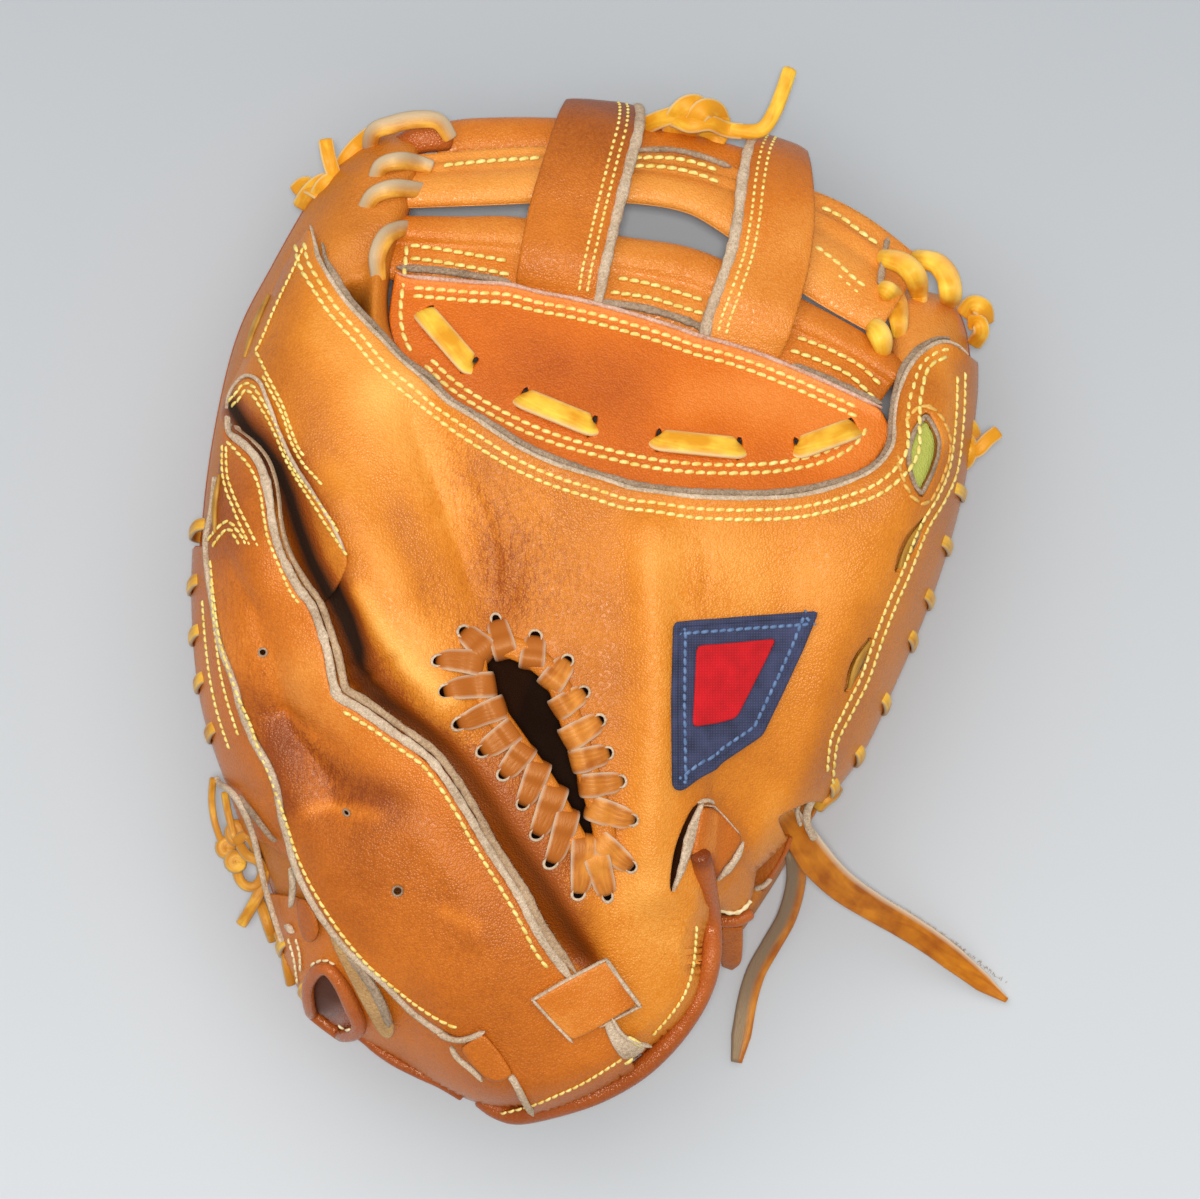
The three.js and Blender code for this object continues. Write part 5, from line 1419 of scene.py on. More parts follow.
def whip(k, a, b, way):
    """One turn of the whipping lace, from its hole at a over the edging and down at b."""
    rises = [
        (a - way * 0.2, -2.4), (a + way * 0.2, -0.7), (a + way * 1.8, 0.7), (mix(a, b, 0.50), 1.3),
        (mix(a, b, 0.72), 2.3), (b - way * 0.2, 1.7), (b + way * 1.0, -0.4), (b + way * 1.2, -2.6)]
    rows = along([(*place, TOP_ONE + rise) for place, rise in rises], 0.8)
    points, ups = lay(rows[:, :2], rows[:, 2], "back")
    wide = np.interp(np.linspace(0, 1, len(rows)), [0, 0.1, 0.24, 0.6, 1], [0.62, 0.80, 1.04, 1.20, 1.14])
    wide *= 1.0 + 0.05 * math.sin(k * 2.4)
    tone = (-0.58 if a[0] < DARK_WHIPS else -0.02) + 0.05 * math.cos(k * 1.7)
    return sweep(f"whip_{k + 1}", points, ups, rounded(6.5, 1.2, 18, 3.4), WHIP_HIDE, None, scale=widened(wide),
                 fuzz=cut_edges, tones=tone)


def whip_rim(k, a, way):
    """The raw rim round the outer half of a whip's hole."""
    turns = np.linspace(-1.9, 1.9, 9)[:, None]
    side = np.array([-way[1], way[0]])
    rim = a - way * 0.3 - 1.8 * (np.cos(turns) * way + np.sin(turns) * side)
    return suede_edge(f"whip_hole_{k + 1}", rim, 0.8, TOP_ONE + 0.1, "back", slot=None, height=0.8)


def whips():
    pieces, rims = [], []
    for k, (outer, inner) in enumerate(WHIPS):
        a, b = marked("back", TOP_ONE, outer, inner)
        way = (b - a) / np.linalg.norm(b - a)
        pieces.append(whip(k, a, b, way))
        rims.append(whip_rim(k, a, way))
    finish_piece(join(pieces, "hole_whipping"))
    finish_piece(join(rims, "hole_punches"))


edging()
whips()


# Web: its lower panel, three bars, two straps and their laces
def notch_outline(gap):
    """The inner edge of the horseshoe, a gap inside it."""
    u = np.linspace(0.5, LAST - 0.5, 240)
    ahead, behind = section_at(u + 0.1)["inner"], section_at(u - 0.1)["inner"]
    way = (ahead - behind) / np.linalg.norm(ahead - behind, axis=1, keepdims=True)
    return section_at(u)["inner"] + np.stack([-way[:, 1], way[:, 0]], -1) * gap


NOTCH = wound(np.concatenate([notch_outline(0.2), [(130, 108), (130, 190), (-30, 190), (-49, 150)]]))
WEB_TOP = along(plan(
    (398, 275), (408, 278), (440, 281), (475, 284), (508, 286), (540, 294), (572, 300), (605, 308),
    (640, 318),
    (672, 328), (700, 338), (730, 346), (760, 356), (790, 368), (820, 381), (850, 395), (880, 409)), 1.3)
WEB_LEFT = along(plan((396, 268), (391, 300), (389, 330), (395, 356), (410, 372)), 1.3)
WEB_UNDER = plan((886, 420), (893, 440), (893, 520), (600, 560), (420, 460), (392, 390))
WEB_PANEL_OUTLINE = np.concatenate([WEB_LEFT[::-1], WEB_TOP, WEB_UNDER])
# The laces of the web's panel: their two holes
WEB_LACES = [((425, 314), (470, 366)), ((523, 399), (592, 427)), ((658, 441), (738, 449)),
    ((798, 449), (853, 429))]
WEB_BOTTOM = along(plan(
    (410, 362), (440, 392), (470, 413), (500, 430), (530, 444), (560, 455), (600, 466), (650, 477),
    (700, 482),
    (760, 482), (810, 475), (845, 462), (866, 445), (878, 424)), 1.3)


def slot_hole(a, b, wide=0.9, half=3.5):
    """A narrow hole at a, square to the way to b."""
    way = (b - a) / np.linalg.norm(b - a)
    side = np.array([-way[1], way[0]])
    turns = np.linspace(0, 2 * np.pi, 12, endpoint=False)
    return [a + side * half * math.cos(t) + way * wide * math.sin(t) for t in turns]


WEB_TONES = [([(790, 400), (860, 440)], 12, 0.35), ([(690, 400), (740, 395)], 8, 0.25),
    ([(540, 360), (620, 390)], 12, -0.15)]


def web_curl(spots, _distance):
    """The web's panel turns up at its top edge and bulges under its laces."""
    lip = 1.5 * np.exp(-((away_from(spots, WEB_TOP) / 2.0) ** 2))
    return lip + strokes(spots, [(lace, 5.0, 0.5) for lace in WEB_LACES])


def web_tone(spots):
    return strokes(spots, WEB_TONES) + 0.30 * np.exp(-((away_from(spots, WEB_TOP) / 2.2) ** 2))


def web_panel():
    ends = [plan(a, b) for a, b in WEB_LACES]
    holes = [slot_hole(*pair) for a, b in ends for pair in ((a, b), (b, a))]
    cut_leather("web_leather", WEB_PANEL_OUTLINE, 0.6, "web", WEB_TAN, ["web_panel"], holes,
                spacing=1.4,
                curl=web_curl, tone=web_tone, trim=NOTCH)


web_panel()


def profile_sheet(name, rows, shares, profile, replaces, tone=0.0):
    """A sheet of the web along a line: rows are x, y and half width; profile gives its middle and thickness."""
    line = along(rows, 1.2)
    way = np.gradient(line[:, :2], axis=0)
    way /= np.linalg.norm(way, axis=1, keepdims=True)
    side = np.stack([-way[:, 1], way[:, 0]], -1)
    places = line[:, None, :2] + side[:, None] * (shares[None, :, None] * line[:, None, 2:3])
    x, y = places[..., 0], places[..., 1]
    middle, thick = profile(shares, np.linspace(0, 1, len(line))[:, None])
    z = web_height(x, y)
    top = np.stack([x, y, z + middle + thick / 2], -1)
    bottom = np.stack([x, y, z + middle - thick / 2], -1)
    points, faces = shell(top, bottom)
    obj = mesh_piece(name, points, faces, [STRAP_TAN], tones={"tone": np.full(len(points), tone)})
    finish_piece(recalculated(obj), replaces)


def roll_profile(high=8.0, centre=0.5, half=0.52):
    """A flat bar of leather with a round roll along it, and a flange that hangs below its lower edge."""
    def profile(shares, along_it):
        roll = np.sqrt(np.clip(1 - ((shares - centre) / half) ** 2, 0, 1))
        flat = LEATHER * np.sqrt(np.clip(1 - np.abs(np.maximum(shares, -0.9)) ** 10, 0.02, 1))
        ripple = 0.25 * np.sin(along_it * 40) * roll
        middle = LEATHER / 2 - 4.5 * np.clip(-1 - shares, 0, 1) + 0 * along_it
        return middle, np.maximum(flat, high * roll) + ripple
    return profile


def tube_profile(shares, along_it):
    """A round bar that lies low."""
    thick = np.maximum(0.1, 8 * np.sqrt(np.clip(1 - shares**2, 0, 1))) + 0 * along_it
    return np.full_like(thick, -5), thick


# Shares of a bar's half width, closer together at its edges
BAR_SHARES = np.sin(np.linspace(-np.pi / 2, np.pi / 2, 34))
# The web's bars: plan x and y, and half width
LOWER_BAR = [
    (-60, 110.8, 7.6), (-38, 109.5, 8.6), (-20, 108, 9.8), (8, 102.5, 10), (28, 98.7, 10.6), (43, 93.2, 10),
    (64, 83.5, 9.2), (80, 75.5, 8.4), (92, 67.5, 7.6),
]
UPPER_BAR = [
    (-56, 127, 6.5), (-26, 128.6, 7), (-10, 129.3, 7), (13.5, 128.7, 6.6), (31.5, 126, 6.8), (44.4, 121, 8.4),
    (56.4, 114.4, 10.6), (67.8, 107.8, 12.0), (78.6, 101, 12.2), (93.4, 91.4, 11),
]
TOP_BAR = [
    (-45, 140.6, 5.4), (-34, 142.2, 5.8), (-10, 142.4, 5.8), (13.5, 140.4, 5.6), (31.5, 137.6, 5.6),
    (46, 134.0, 5.4), (56, 130.6, 4.8)]


def bars():
    flange = np.concatenate([[-1.5, -1.3, -1.1], BAR_SHARES])
    profile_sheet("lower_bar_leather", LOWER_BAR, flange, roll_profile(), ["web_lower_bar"], 0.06)
    ledge = np.concatenate([BAR_SHARES, [1.15, 1.3, 1.45]])
    profile_sheet("upper_bar_leather", UPPER_BAR, ledge, roll_profile(centre=-0.2, half=0.8),
                  ["web_upper_bar"], 0.22)
    profile_sheet("top_bar_leather", TOP_BAR, BAR_SHARES, tube_profile, ["web_top_bar"])


bars()

# The web's straps: plan x and y, and the lift over the web's sheet
STRAP_LEFT = [
    (-9.4, 91.6, 0.2), (-8.6, 95.6, 2.6), (-8.1, 98.6, 5.0), (-7.4, 103, 7.6), (-6.4, 108, 8.9),
    (-4, 119, 8.4), (-1.6, 128, 8.9), (1.2, 138, 8.2), (3.6, 146, 5.4), (5, 151, -2), (5, 152, -9),
]
STRAP_RIGHT = [
    (46.6, 75.6, -0.2), (47.7, 79.6, 2.4), (49, 83.8, 5.2), (50.6, 88, 7.4), (52.2, 93, 8.9),
    (55.6, 104, 8.6), (57.6, 116, 8.9), (58.2, 126, 7.2), (58.6, 135, 2.4), (59, 139.5, -4),
    (59, 140.5, -10),
]
LEFT_WIDTHS = [24, 24.6, 25, 25, 25.4, 25.6, 25.2, 24.6, 24, 22, 20]
RIGHT_WIDTHS = [22, 23, 24, 24.2, 23.8, 23.2, 22.6, 21.4, 19, 16.5, 15]


STRAP_SHARES = np.linspace(-1, 1, 30)
STRAP_SECTION = np.concatenate([
    np.stack([STRAP_SHARES / 2, 0.9 * (1 - STRAP_SHARES**4) + 0.8], -1),
    np.stack([STRAP_SHARES[::-1] / 2, np.full(30, -1.7)], -1)])
# The straps' tone from the bottom up, darker towards the top, and how far in from the raw edge and how high each
# row of stitches runs
STRAP_TONES = [0.04, 0.0, -0.10, -0.22, -0.34]
STRAP_SEAMS = ((3.2, 1.5), (5.7, 1.72))


def strap_stitches(name, points, way, side, rise, inward):
    """Two rows of stitches beside a strap's raw edge."""
    made, faces = [], []
    for offset, above in STRAP_SEAMS:
        row = points + side * (inward[0] * (inward[1] - offset)) + rise * above
        for k in range(8, len(row) - 4, 2):
            turn = np.stack([way[k] + side[k] * STITCH_LEAN, side[k] - way[k] * STITCH_LEAN, rise[k]])
            faces += [tuple(i + len(made) * len(STITCH) for i in f) for f in STITCH_FACES]
            made.append(row[k] + STITCH @ (turn * np.array([[0.46], [0.8], [0.8]])))
    finish_piece(mesh_piece(name, np.concatenate(made), faces, [THREAD]))


def web_strap(name, rows, widths, replaces, raw_side):
    """A strap over the web's bars, with its raw edge on the left for a raw side of -1."""
    x, y, lift, wide = along(np.concatenate([np.array(rows, float), np.array(widths)[:, None]], 1), 1.0).T
    up = web_up(x)
    points = np.stack([x, y, web_height(x, y) + lift / up[:, 2]], -1)
    wear_and_shading = np.interp(np.linspace(0, 4, len(points)), range(5), STRAP_TONES) - 0.12 * raw_side
    sweep(name, points, up, STRAP_SECTION, STRAP_TAN, "tan_leather", replaces, scale=widened(wide),
          ends=0.1, tones=wear_and_shading)
    way = unit(np.gradient(points, axis=0))
    side = unit(np.cross(way, up))
    rise = np.cross(side, way)
    edge = points + side * (raw_side * (wide[:, None] / 2 + 0.6)) + rise * 0.1
    rough = raggedness(len(edge))
    sweep(name + "_suede", edge[1:-2], rise[1:-2], rounded(3.4, 3.4, 14, 2.6), SUEDE, "tan_leather",
          scale=np.stack([1 + 0.12 * rough, 1 + 0.08 * rough], -1)[1:-2])
    fringe(name + "_fibres", (edge + side * raw_side * 1.2)[3:-4], rise[3:-4], raw_side, 220, 1.5)
    strap_stitches(name + "_stitches", points, way, side, rise, (raw_side, wide[:, None] / 2))


web_strap("left_strap_leather", STRAP_LEFT, LEFT_WIDTHS, ["web_strap_left"], 1)
web_strap("right_strap_leather", STRAP_RIGHT, RIGHT_WIDTHS, ["web_strap_right"], -1)


def web_loops():
    """The flat laces that hold the web's panel, each up through one hole and down through the next."""
    for number, ends in enumerate(WEB_LACES, 1):
        a, b = plan(*ends)
        way = (b - a) / np.linalg.norm(b - a)
        rises = [
            (a - way * 0.5, -1.2), (a - way * 0.1, 2.2), (a + way * 2.2, 4.6), (mix(a, b, 0.5), 5.2),
            (b - way * 2.2, 4.6), (b + way * 0.1, 2.2), (b + way * 0.5, -1.2)]
        stations = along([(*place, rise) for place, rise in rises], 0.9)
        points, ups = lay(stations[:, :2], stations[:, 2], "web")
        sweep(f"web_loop_{number}", points, ups, rounded(7.2, 2.5, 16, 3.2), LACE, "lace_leather",
              [f"web_lace_{number}"], fuzz=cut_edges)


web_loops()

# The web's other seams: a row of pixels, and the lift over the web's sheet
WEB_SEAMS = [
    ([(407, 245), (404, 280), (401, 310), (404, 335), (414, 357)], 3.2),
    ([(410, 245), (440, 249), (480, 256), (512, 262)], 2.9),
    ([(410, 258), (440, 262), (480, 269), (510, 275)], 2.9),
    ([(618, 278), (650, 284), (680, 293), (708, 302)], 2.9),
    ([(610, 292), (650, 298), (680, 307), (704, 314)], 2.9),
    ([(797, 337), (830, 350), (860, 366), (880, 385)], 2.9),
    ([(790, 350), (820, 361), (850, 376), (875, 400)], 2.9),
    ([(443, 165), (480, 161), (540, 157)], 5.6),
    ([(632, 157), (670, 157), (700, 163), (722, 172)], 5.4),
    ([(634, 165), (670, 167), (700, 174), (724, 184)], 5.8),
    ([(822, 206), (840, 215), (860, 230), (878, 243)], 4.6),
    ([(815, 245), (835, 260), (852, 276), (870, 290)], 4.4),
    ([(812, 253), (830, 268), (848, 284), (864, 298)], 4.2),
]
# The raw edges of the web's bars: a name, a row of pixels, a width and a lift
BAR_EDGES = [
    ("bar_suede_left", [(398, 268), (440, 271), (480, 277), (510, 283)], 2.2, 2.6),
    ("bar_suede_middle", [(600, 303), (640, 308), (680, 319), (706, 330)], 2.4, 2.6),
    ("bar_suede_right", [(792, 366), (820, 376), (850, 390), (880, 404)], 2.2, 2.6),
    ("upper_bar_suede", [(632, 150), (670, 149), (700, 155), (730, 166)], 1.6, 5.0),
    ("upper_bar_end", [(888, 238), (884, 258), (880, 285)], 2.0, 5.0),
]


def web_stitches():
    seams = []
    for offset in (2.7, 5.2):
        seams.append((beside(WEB_TOP, -offset)[4:-4], 3.35, "web"))
        seams.append((beside(WEB_BOTTOM, offset)[3:-2], 3.15, "web"))
    sew("web_stitches", seams + [(plan(*pixels), lift, "web") for pixels, lift in WEB_SEAMS], 3.3)


def web_edges():
    for name, pixels, width, lift in BAR_EDGES:
        suede_edge(name, plan(*pixels), width, lift, "web", finish=GREY_SUEDE)
    suede_edge("web_panel_edge", beside(WEB_TOP, 0.3), 1.3, 4.2, "web", finish=WEB_EDGE, height=1.5)
    fringe_along("web_panel_fibres", beside(WEB_TOP[12:-8], 0.6), 4.2, "web", 1, 160, 1.0, WEB_EDGE)


web_stitches()
web_edges()


# Laces at the finger tip and the thumb tip
def over_top(x, y, lift):
    """A point a lift above the bare back, or above the web where the back ends."""
    u, v = locate(np.array([x]), np.array([y]))
    if v[0] < 0.999 and 0 < u[0] < LAST:
        return x, y, back_point(u, v, [])[0, 2] + lift
    return x, y, web_height(x, y) + 5.2 + lift


# Laces round the tips: pixels and a lift
TIP_LACES = {
    "finger_tip_lace_1": [(369, 147, -2), (374, 131, 3), (392, 124, 4.5), (416, 119, 4.5), (438, 121, 3),
                          (450, 137, -2)],
    "finger_tip_lace_2": [(375, 180, -2), (382, 166, 2.4), (400, 161, 3.0), (418, 163, 2.4), (431, 167, -2)],
    "finger_tip_lace_3": [(364, 211, -2), (374, 196, 2.4), (392, 189, 3.4), (410, 189, 2.8), (423, 190, -2)],
    "finger_tip_lace_4": [(379, 280, -2), (378, 257, 2.4), (386, 238, 3.6), (398, 230, 2.4), (408, 228, -2)],
    "thumb_tip_lace_1": [(880, 256, -2), (890, 259, 3.6), (904, 264, 5.4), (915, 276, 5.2), (920, 294, 3.0),
                         (920, 304, -2)],
    "thumb_tip_lace_2": [(914, 256, -2), (924, 259, 3.6), (938, 264, 5.4), (948, 277, 5.2), (951, 294, 3.0),
                         (950, 304, -2)],
    "thumb_tip_lace_3": [(880, 288, -1), (888, 291, 3.2), (896, 302, 4.0), (899, 322, 3.0), (899, 336, -1)],
    "thumb_tip_lace_4": [(870, 325, -2), (876, 330, 2.6), (881, 340, 3.0), (884, 354, -1)],
}
TIP_END = [(396, 152, 44), (418, 139, 47.5), (446, 136, 46)]


def dull_side(section):
    """A plump lace's flesh side, half seen along one edge."""
    return 0.5 * np.clip(-section[:, 0] - 0.2, 0, 1)


def tip_laces():
    for name, rows in TIP_LACES.items():
        path = along([over_top(*plan((x, y))[0], lift) for x, y, lift in rows], 0.8)
        bow = np.sin(np.pi * np.linspace(0, 1, len(path)))
        if "finger" in name:
            flat, plump, finish, fuzz = rounded(5.6, 2.2, 16, 2.8), 0.82 + 0.18 * bow, TIP_HIDE, half_split
        else:
            flat, plump, finish, fuzz = rounded(6.6, 3.2, 18, 2.3), 0.62 + 0.46 * bow**0.8, LACE, dull_side
        sweep(name.replace("lace", "hide"), path, (0, 0, 1), flat, finish, "lace_leather", [name],
              scale=plump, fuzz=fuzz)
    sweep("tip_end_leather", along(route(*TIP_END), 0.8), (0, 0, 1), rounded(8.6, 6.0, 16, 2.4), PIPING,
          "tan_leather")


tip_laces()


# Ties: hide laces tied over themselves
def tied(name, strands, replaces=(), finish=LACE):
    """A tie of flat lace ends: each strand is a route, a width and a thickness."""
    made = []
    for k, (rows, width, thickness) in enumerate(strands):
        flat = rounded(width, thickness, 14, 2.8)
        made.append(sweep(f"{name}_{k}", along(rows, 0.7), (0.1, 0.1, 1), flat, finish, None, fuzz=cut_edges,
                          tones=-0.16 + 0.1 * math.sin(k * 2.1)))
    finish_piece(join(made, name), replaces)


def ring_route(x, y, z, wide, tall, tilt=0.0, rise=0.0):
    """A route nearly once round an oval, tilted in plan."""
    places = []
    c, s = math.cos(tilt), math.sin(tilt)
    for t in np.linspace(0.3, 0.3 + 2 * np.pi * 0.97, 16):
        out, up = wide * math.cos(t), tall * math.sin(t)
        places.append(at(x + out * c - up * s, y + out * s + up * c, z + rise * math.sin(t)))
    return places


tied("finger_tip_tie", [
    (route((344, 196, 41), (336, 180, 47), (329, 160, 49), (325, 140, 47)), 4.6, 2.0),
    (route((300, 204, 38), (308, 192, 43), (320, 182, 46), (334, 180, 46), (343, 188, 42)), 5.4, 2.6),
    (route((296, 190, 39), (305, 184, 42), (318, 190, 46), (330, 200, 45), (338, 210, 40)), 5.6, 2.6),
    (route((312, 216, 38), (322, 212, 43), (334, 204, 46), (342, 194, 44), (346, 184, 39)), 5.4, 2.6),
    (route((316, 196, 45), (322, 186, 48.5), (330, 180, 48.5), (337, 186, 46)), 5.0, 2.2),
    (route((338, 170, 42), (346, 156, 44), (356, 144, 44), (368, 134, 46), (380, 126, 46)), 4.8, 3.2),
], ["tip_knot"])
tied("web_top_tie", [
    (route((636, 130, 36), (650, 122, 40), (666, 116, 43), (682, 112, 44), (698, 110, 44), (714, 112, 42),
           (724, 122, 38)), 5.6, 3.0),
    (route((672, 130, 38), (676, 116, 44), (686, 105, 46), (698, 104, 44), (702, 116, 38)), 6.4, 2.4),
    (route((688, 134, 36), (694, 120, 45), (704, 108, 46.5), (716, 110, 43), (722, 124, 37)), 6.4, 2.4),
    (route((664, 128, 36), (672, 118, 42), (690, 124, 46), (710, 122, 45), (726, 128, 41),
           (742, 130, 41)), 5.0, 2.8),
    (route((700, 134, 35), (714, 134, 38), (724, 140, 38)), 5.0, 2.2),
], ["web_knot"])
tied("thumb_tip_tie", [
    (route((966, 312, 42), (974, 304, 46), (984, 308, 46), (986, 320, 42)), 6.0, 3.0),
    (route((972, 322, 44), (980, 322, 47), (982, 332, 46), (976, 342, 40)), 5.0, 2.6),
], ["thumb_knot"])
tied("thumb_side_tie", [
    (route((956, 460, 44), (954, 446, 48), (958, 432, 51), (968, 426, 50), (974, 436, 46)), 5.6, 3.0),
    (route((964, 434, 46), (970, 448, 50), (966, 460, 48), (958, 464, 43)), 5.4, 2.6),
    (route((966, 452, 48), (978, 450, 50), (988, 440, 50), (998, 432, 48)), 4.4, 2.0),
], ["thumb_side_knot"])
tied("heel_tie", [
    (route((212, 780, 46), (211, 800, 50), (214, 822, 51), (222, 846, 50)), 2.2, 1.8),
    (route((224, 794, 50), (228, 815, 52), (234, 838, 52)), 2.4, 1.8),
    (ring_route(235, 833, 51, 5.5, 8), 3.6, 3.0),
    (ring_route(225, 848, 50, 4.5, 5.5), 4.0, 3.4),
    (ring_route(235, 862, 51, 5.0, 5.0), 4.4, 3.8),
    (ring_route(249, 871, 50, 12.5, 16.5, -0.15, 1.5), 3.2, 2.4),
    (route((240, 846, 52), (247, 856, 53.5), (258, 862, 53), (264, 874, 50)), 3.2, 2.2),
    (route((264, 866, 50), (262, 884, 51), (254, 902, 51), (246, 916, 49), (241, 924, 47)), 3.6, 2.2),
    (route((236, 842, 52), (246, 836, 53), (254, 846, 52), (256, 860, 50)), 3.4, 2.4),
], ["heel_knot"], TIE_HIDE)
TAIL = route((724, 126, 40), (742, 130, 41), (762, 128, 42), (774, 112, 42), (783, 90, 41), (790, 69, 40))
sweep("web_tail_hide", along(TAIL, 0.7), (0.3, 0, 1), rounded(4.6, 3.4, 14, 2.4), LACE, "lace_leather",
      ["web_lace_tail"], fuzz=0.3)


# Short laces that bind the outer seam: where each starts, then its lean, its way over the rim and its lift
RIM_LACES = [
    (195, 540), (193, 595), (195, 645), (202, 690), (214, 738), (957, 495), (945, 552), (925, 605),
    (912, 658), (878, 706), (851, 753), (827, 797), (285, 955), (306, 1000),
]
RIM_LACE_LEANS = 0.06 * np.array([-0.5, -0.4, -0.1, 0.2, 0.4, 0.5])
RIM_LACE_WAYS = np.array([3.0, 2.4, 1.2, 0.3, 0.0, 0.0])
RIM_LACE_LIFTS = np.array([TOP_ONE - 1.4, TOP_ONE + 0.4, TOP_ONE + 0.9, TOP_ONE + 0.7, TOP_ONE - 0.4, 0.6])
RIM_LACE_DROPS = np.array([0, 0, 0, 0.6, 4.0, 8.0])


def rim_laces():
    us, _ = locate(*plan(*RIM_LACES).T)
    made = []
    for k, u in enumerate(us):
        lean = RIM_LACE_LEANS if u < 12 else -RIM_LACE_LEANS
        v = RIM_LACE_WAYS / section_at(np.array([u]))["span"][0]
        points, ups = lifted(u + lean, v, RIM_LACE_LIFTS, BACK_FOLDS)
        points[:, 2] -= RIM_LACE_DROPS
        line = along(np.concatenate([points, ups], 1), 0.7)
        made.append(sweep(f"rim_lace_{k}", line[:, :3], line[:, 3:], rounded(3.8, 1.5, 14, 3.4), TIE_HIDE, None,
                          fuzz=cut_edges, tones=0.05))
    finish_piece(join(made, "rim_laces"))


rim_laces()

# Laces that pass below the leather in lens-shaped slots: a row of pixels, a lift, what they lie on, a width
SLOT_LACES = [
    ([(246, 357), (252, 334), (260, 314), (269, 296)], 0.9, "back", 3.6),
    ([(217, 532), (216, 506), (221, 476)], TOP_TWO + 0.3, "flap", 2.6),
    ([(898, 568), (908, 546), (922, 522)], TOP_ONE - 0.8, "back", 3.8),
    ([(848, 688), (856, 666), (868, 642)], TOP_ONE - 0.8, "back", 3.6),
]


def slot_laces():
    for number, (pixels, lift, on, width) in enumerate(SLOT_LACES, 1):
        line = along(marked(on, lift, *pixels), 0.8)
        points, ups = lay(line, lift, on)
        bow = np.sin(np.pi * np.linspace(0, 1, len(line)))
        sweep(f"slot_lace_{number}", points, ups, rounded(width, 1.4, 12, 2.6), SLOT_HIDE, "lace_leather",
              scale=widened(0.25 + 0.75 * bow), fuzz=-1.0)


slot_laces()

# Patch with a sewn border, and the inlay in the thumb's eye
PATCH = marked(
    "back", LAYER_TWO + 1.4, (673, 622), (745, 616), (818, 611), (802, 650), (762, 735), (722, 762), (682, 790),
    (672, 788), (671, 700))
FIELD = marked("back", LAYER_TWO + 2.4, (696, 645), (776, 638), (736, 718), (692, 727))


def border(name, outline, inset, lift, thread, pitch=2.6):
    """Stitches all round an outline."""
    ring = softened(along(outline, 0.8, closed=True, corners=True), 2)
    ring = beside(np.concatenate([ring[-1:], ring, ring[:2]]), inset)[1:]
    sew(name, [(ring, lift, "back")], pitch, thread)


def hem_roll(name, outline, inset, lift, finish, slot, radius):
    """A soft roll all round an outline."""
    ring = beside_ring(softened(along(outline, 0.8, closed=True, corners=True), 3), inset)
    points, ups = lay(ring, lift, "back")
    sweep(name, points, ups, rounded(radius * 2.4, radius * 1.6, 12, 2.2), finish, slot, closed=True)


def patch():
    cut_leather("patch_twill", PATCH, LAYER_TWO + 0.2, "back", NAVY, ["patch"], spacing=1.6,
                thickness=1.2, rounding=0.5, inner_finish=NAVY, rim_finish=NAVY)
    cut_leather("patch_field_felt", FIELD, LAYER_TWO + 1.75, "back", RED, ["patch_field"],
                spacing=1.5, thickness=0.7, rounding=0.3, inner_finish=RED, rim_finish=RED)
    border("patch_sewing", PATCH, -3.6, LAYER_TWO + 1.45, PATCH_THREAD)
    hem_roll("patch_border", PATCH, -0.9, LAYER_TWO + 1.2, NAVY, "patch_cloth", 0.8)


def thumb_eye():
    middle = EYE.mean(0)
    cut_leather("eye_inlay", middle + (EYE - middle) * 0.92, LAYER_ONE - 0.6, "back", LIME,
                ["thumb_eye"], spacing=1.3, thickness=1.2, rounding=0.2)
    hem_roll("eye_suede", EYE, -0.3, TOP_ONE - 0.5, GREY_SUEDE, "tan_leather", 0.62)
    border("eye_sewing", EYE, 2.3, TOP_ONE + 0.25, EYE_THREAD, 3.0)


patch()
thumb_eye()


# Wrist: the loop under the piping's end, the piping, keepers, cuff, band and tabs
def stroked(lines, base=0.0):
    """A tone or a curl: strokes over an even base."""
    return lambda spots, _distance=0: base + strokes(spots, lines)


WRIST_LOOP = marked(
    "back", TOP_ONE + 1.2, (701, 805), (712, 806), (722, 812), (732, 822), (742, 837), (738, 846), (730, 856),
    (722, 866), (716, 878), (711, 886), (704, 880), (697, 868), (691, 858), (693, 845), (697, 825))
LOOP_CURL = [([(706, 816), (700, 852)], 3.0, 0.9), ([(728, 832), (714, 868)], 4.0, 0.7)]
LOOP_TONES = [
    ([(703, 812), (698, 845)], 1.5, 0.34), ([(696, 862), (714, 878)], 2.6, -0.5),
    ([(738, 842), (722, 866)], 1.6, -0.3)]
KEEPER = marked(
    "flap", LAYER_THREE + 2, (533, 997), (606, 957), (624, 980), (638, 1003), (604, 1022),
    (572, 1039), (552, 1018))
KEEPER_CURL = [([(560, 975), (600, 1030)], 7.0, 1.0)]
KEEPER_TONES = [([(540, 1000), (575, 1036)], 2.5, 0.15), ([(620, 975), (640, 1003)], 3, -0.2)]
SMALL_KEEPER = marked(
    "flap", LAYER_THREE + 2, (458, 1046), (484, 1031), (500, 1050), (515, 1074), (500, 1082),
    (486, 1080), (470, 1064))
TAB = marked(
    "flap", LAYER_THREE + 1.6, (603, 1022), (614, 1016), (622, 1030), (634, 1042), (650, 1046), (640, 1056),
    (624, 1062), (612, 1044))


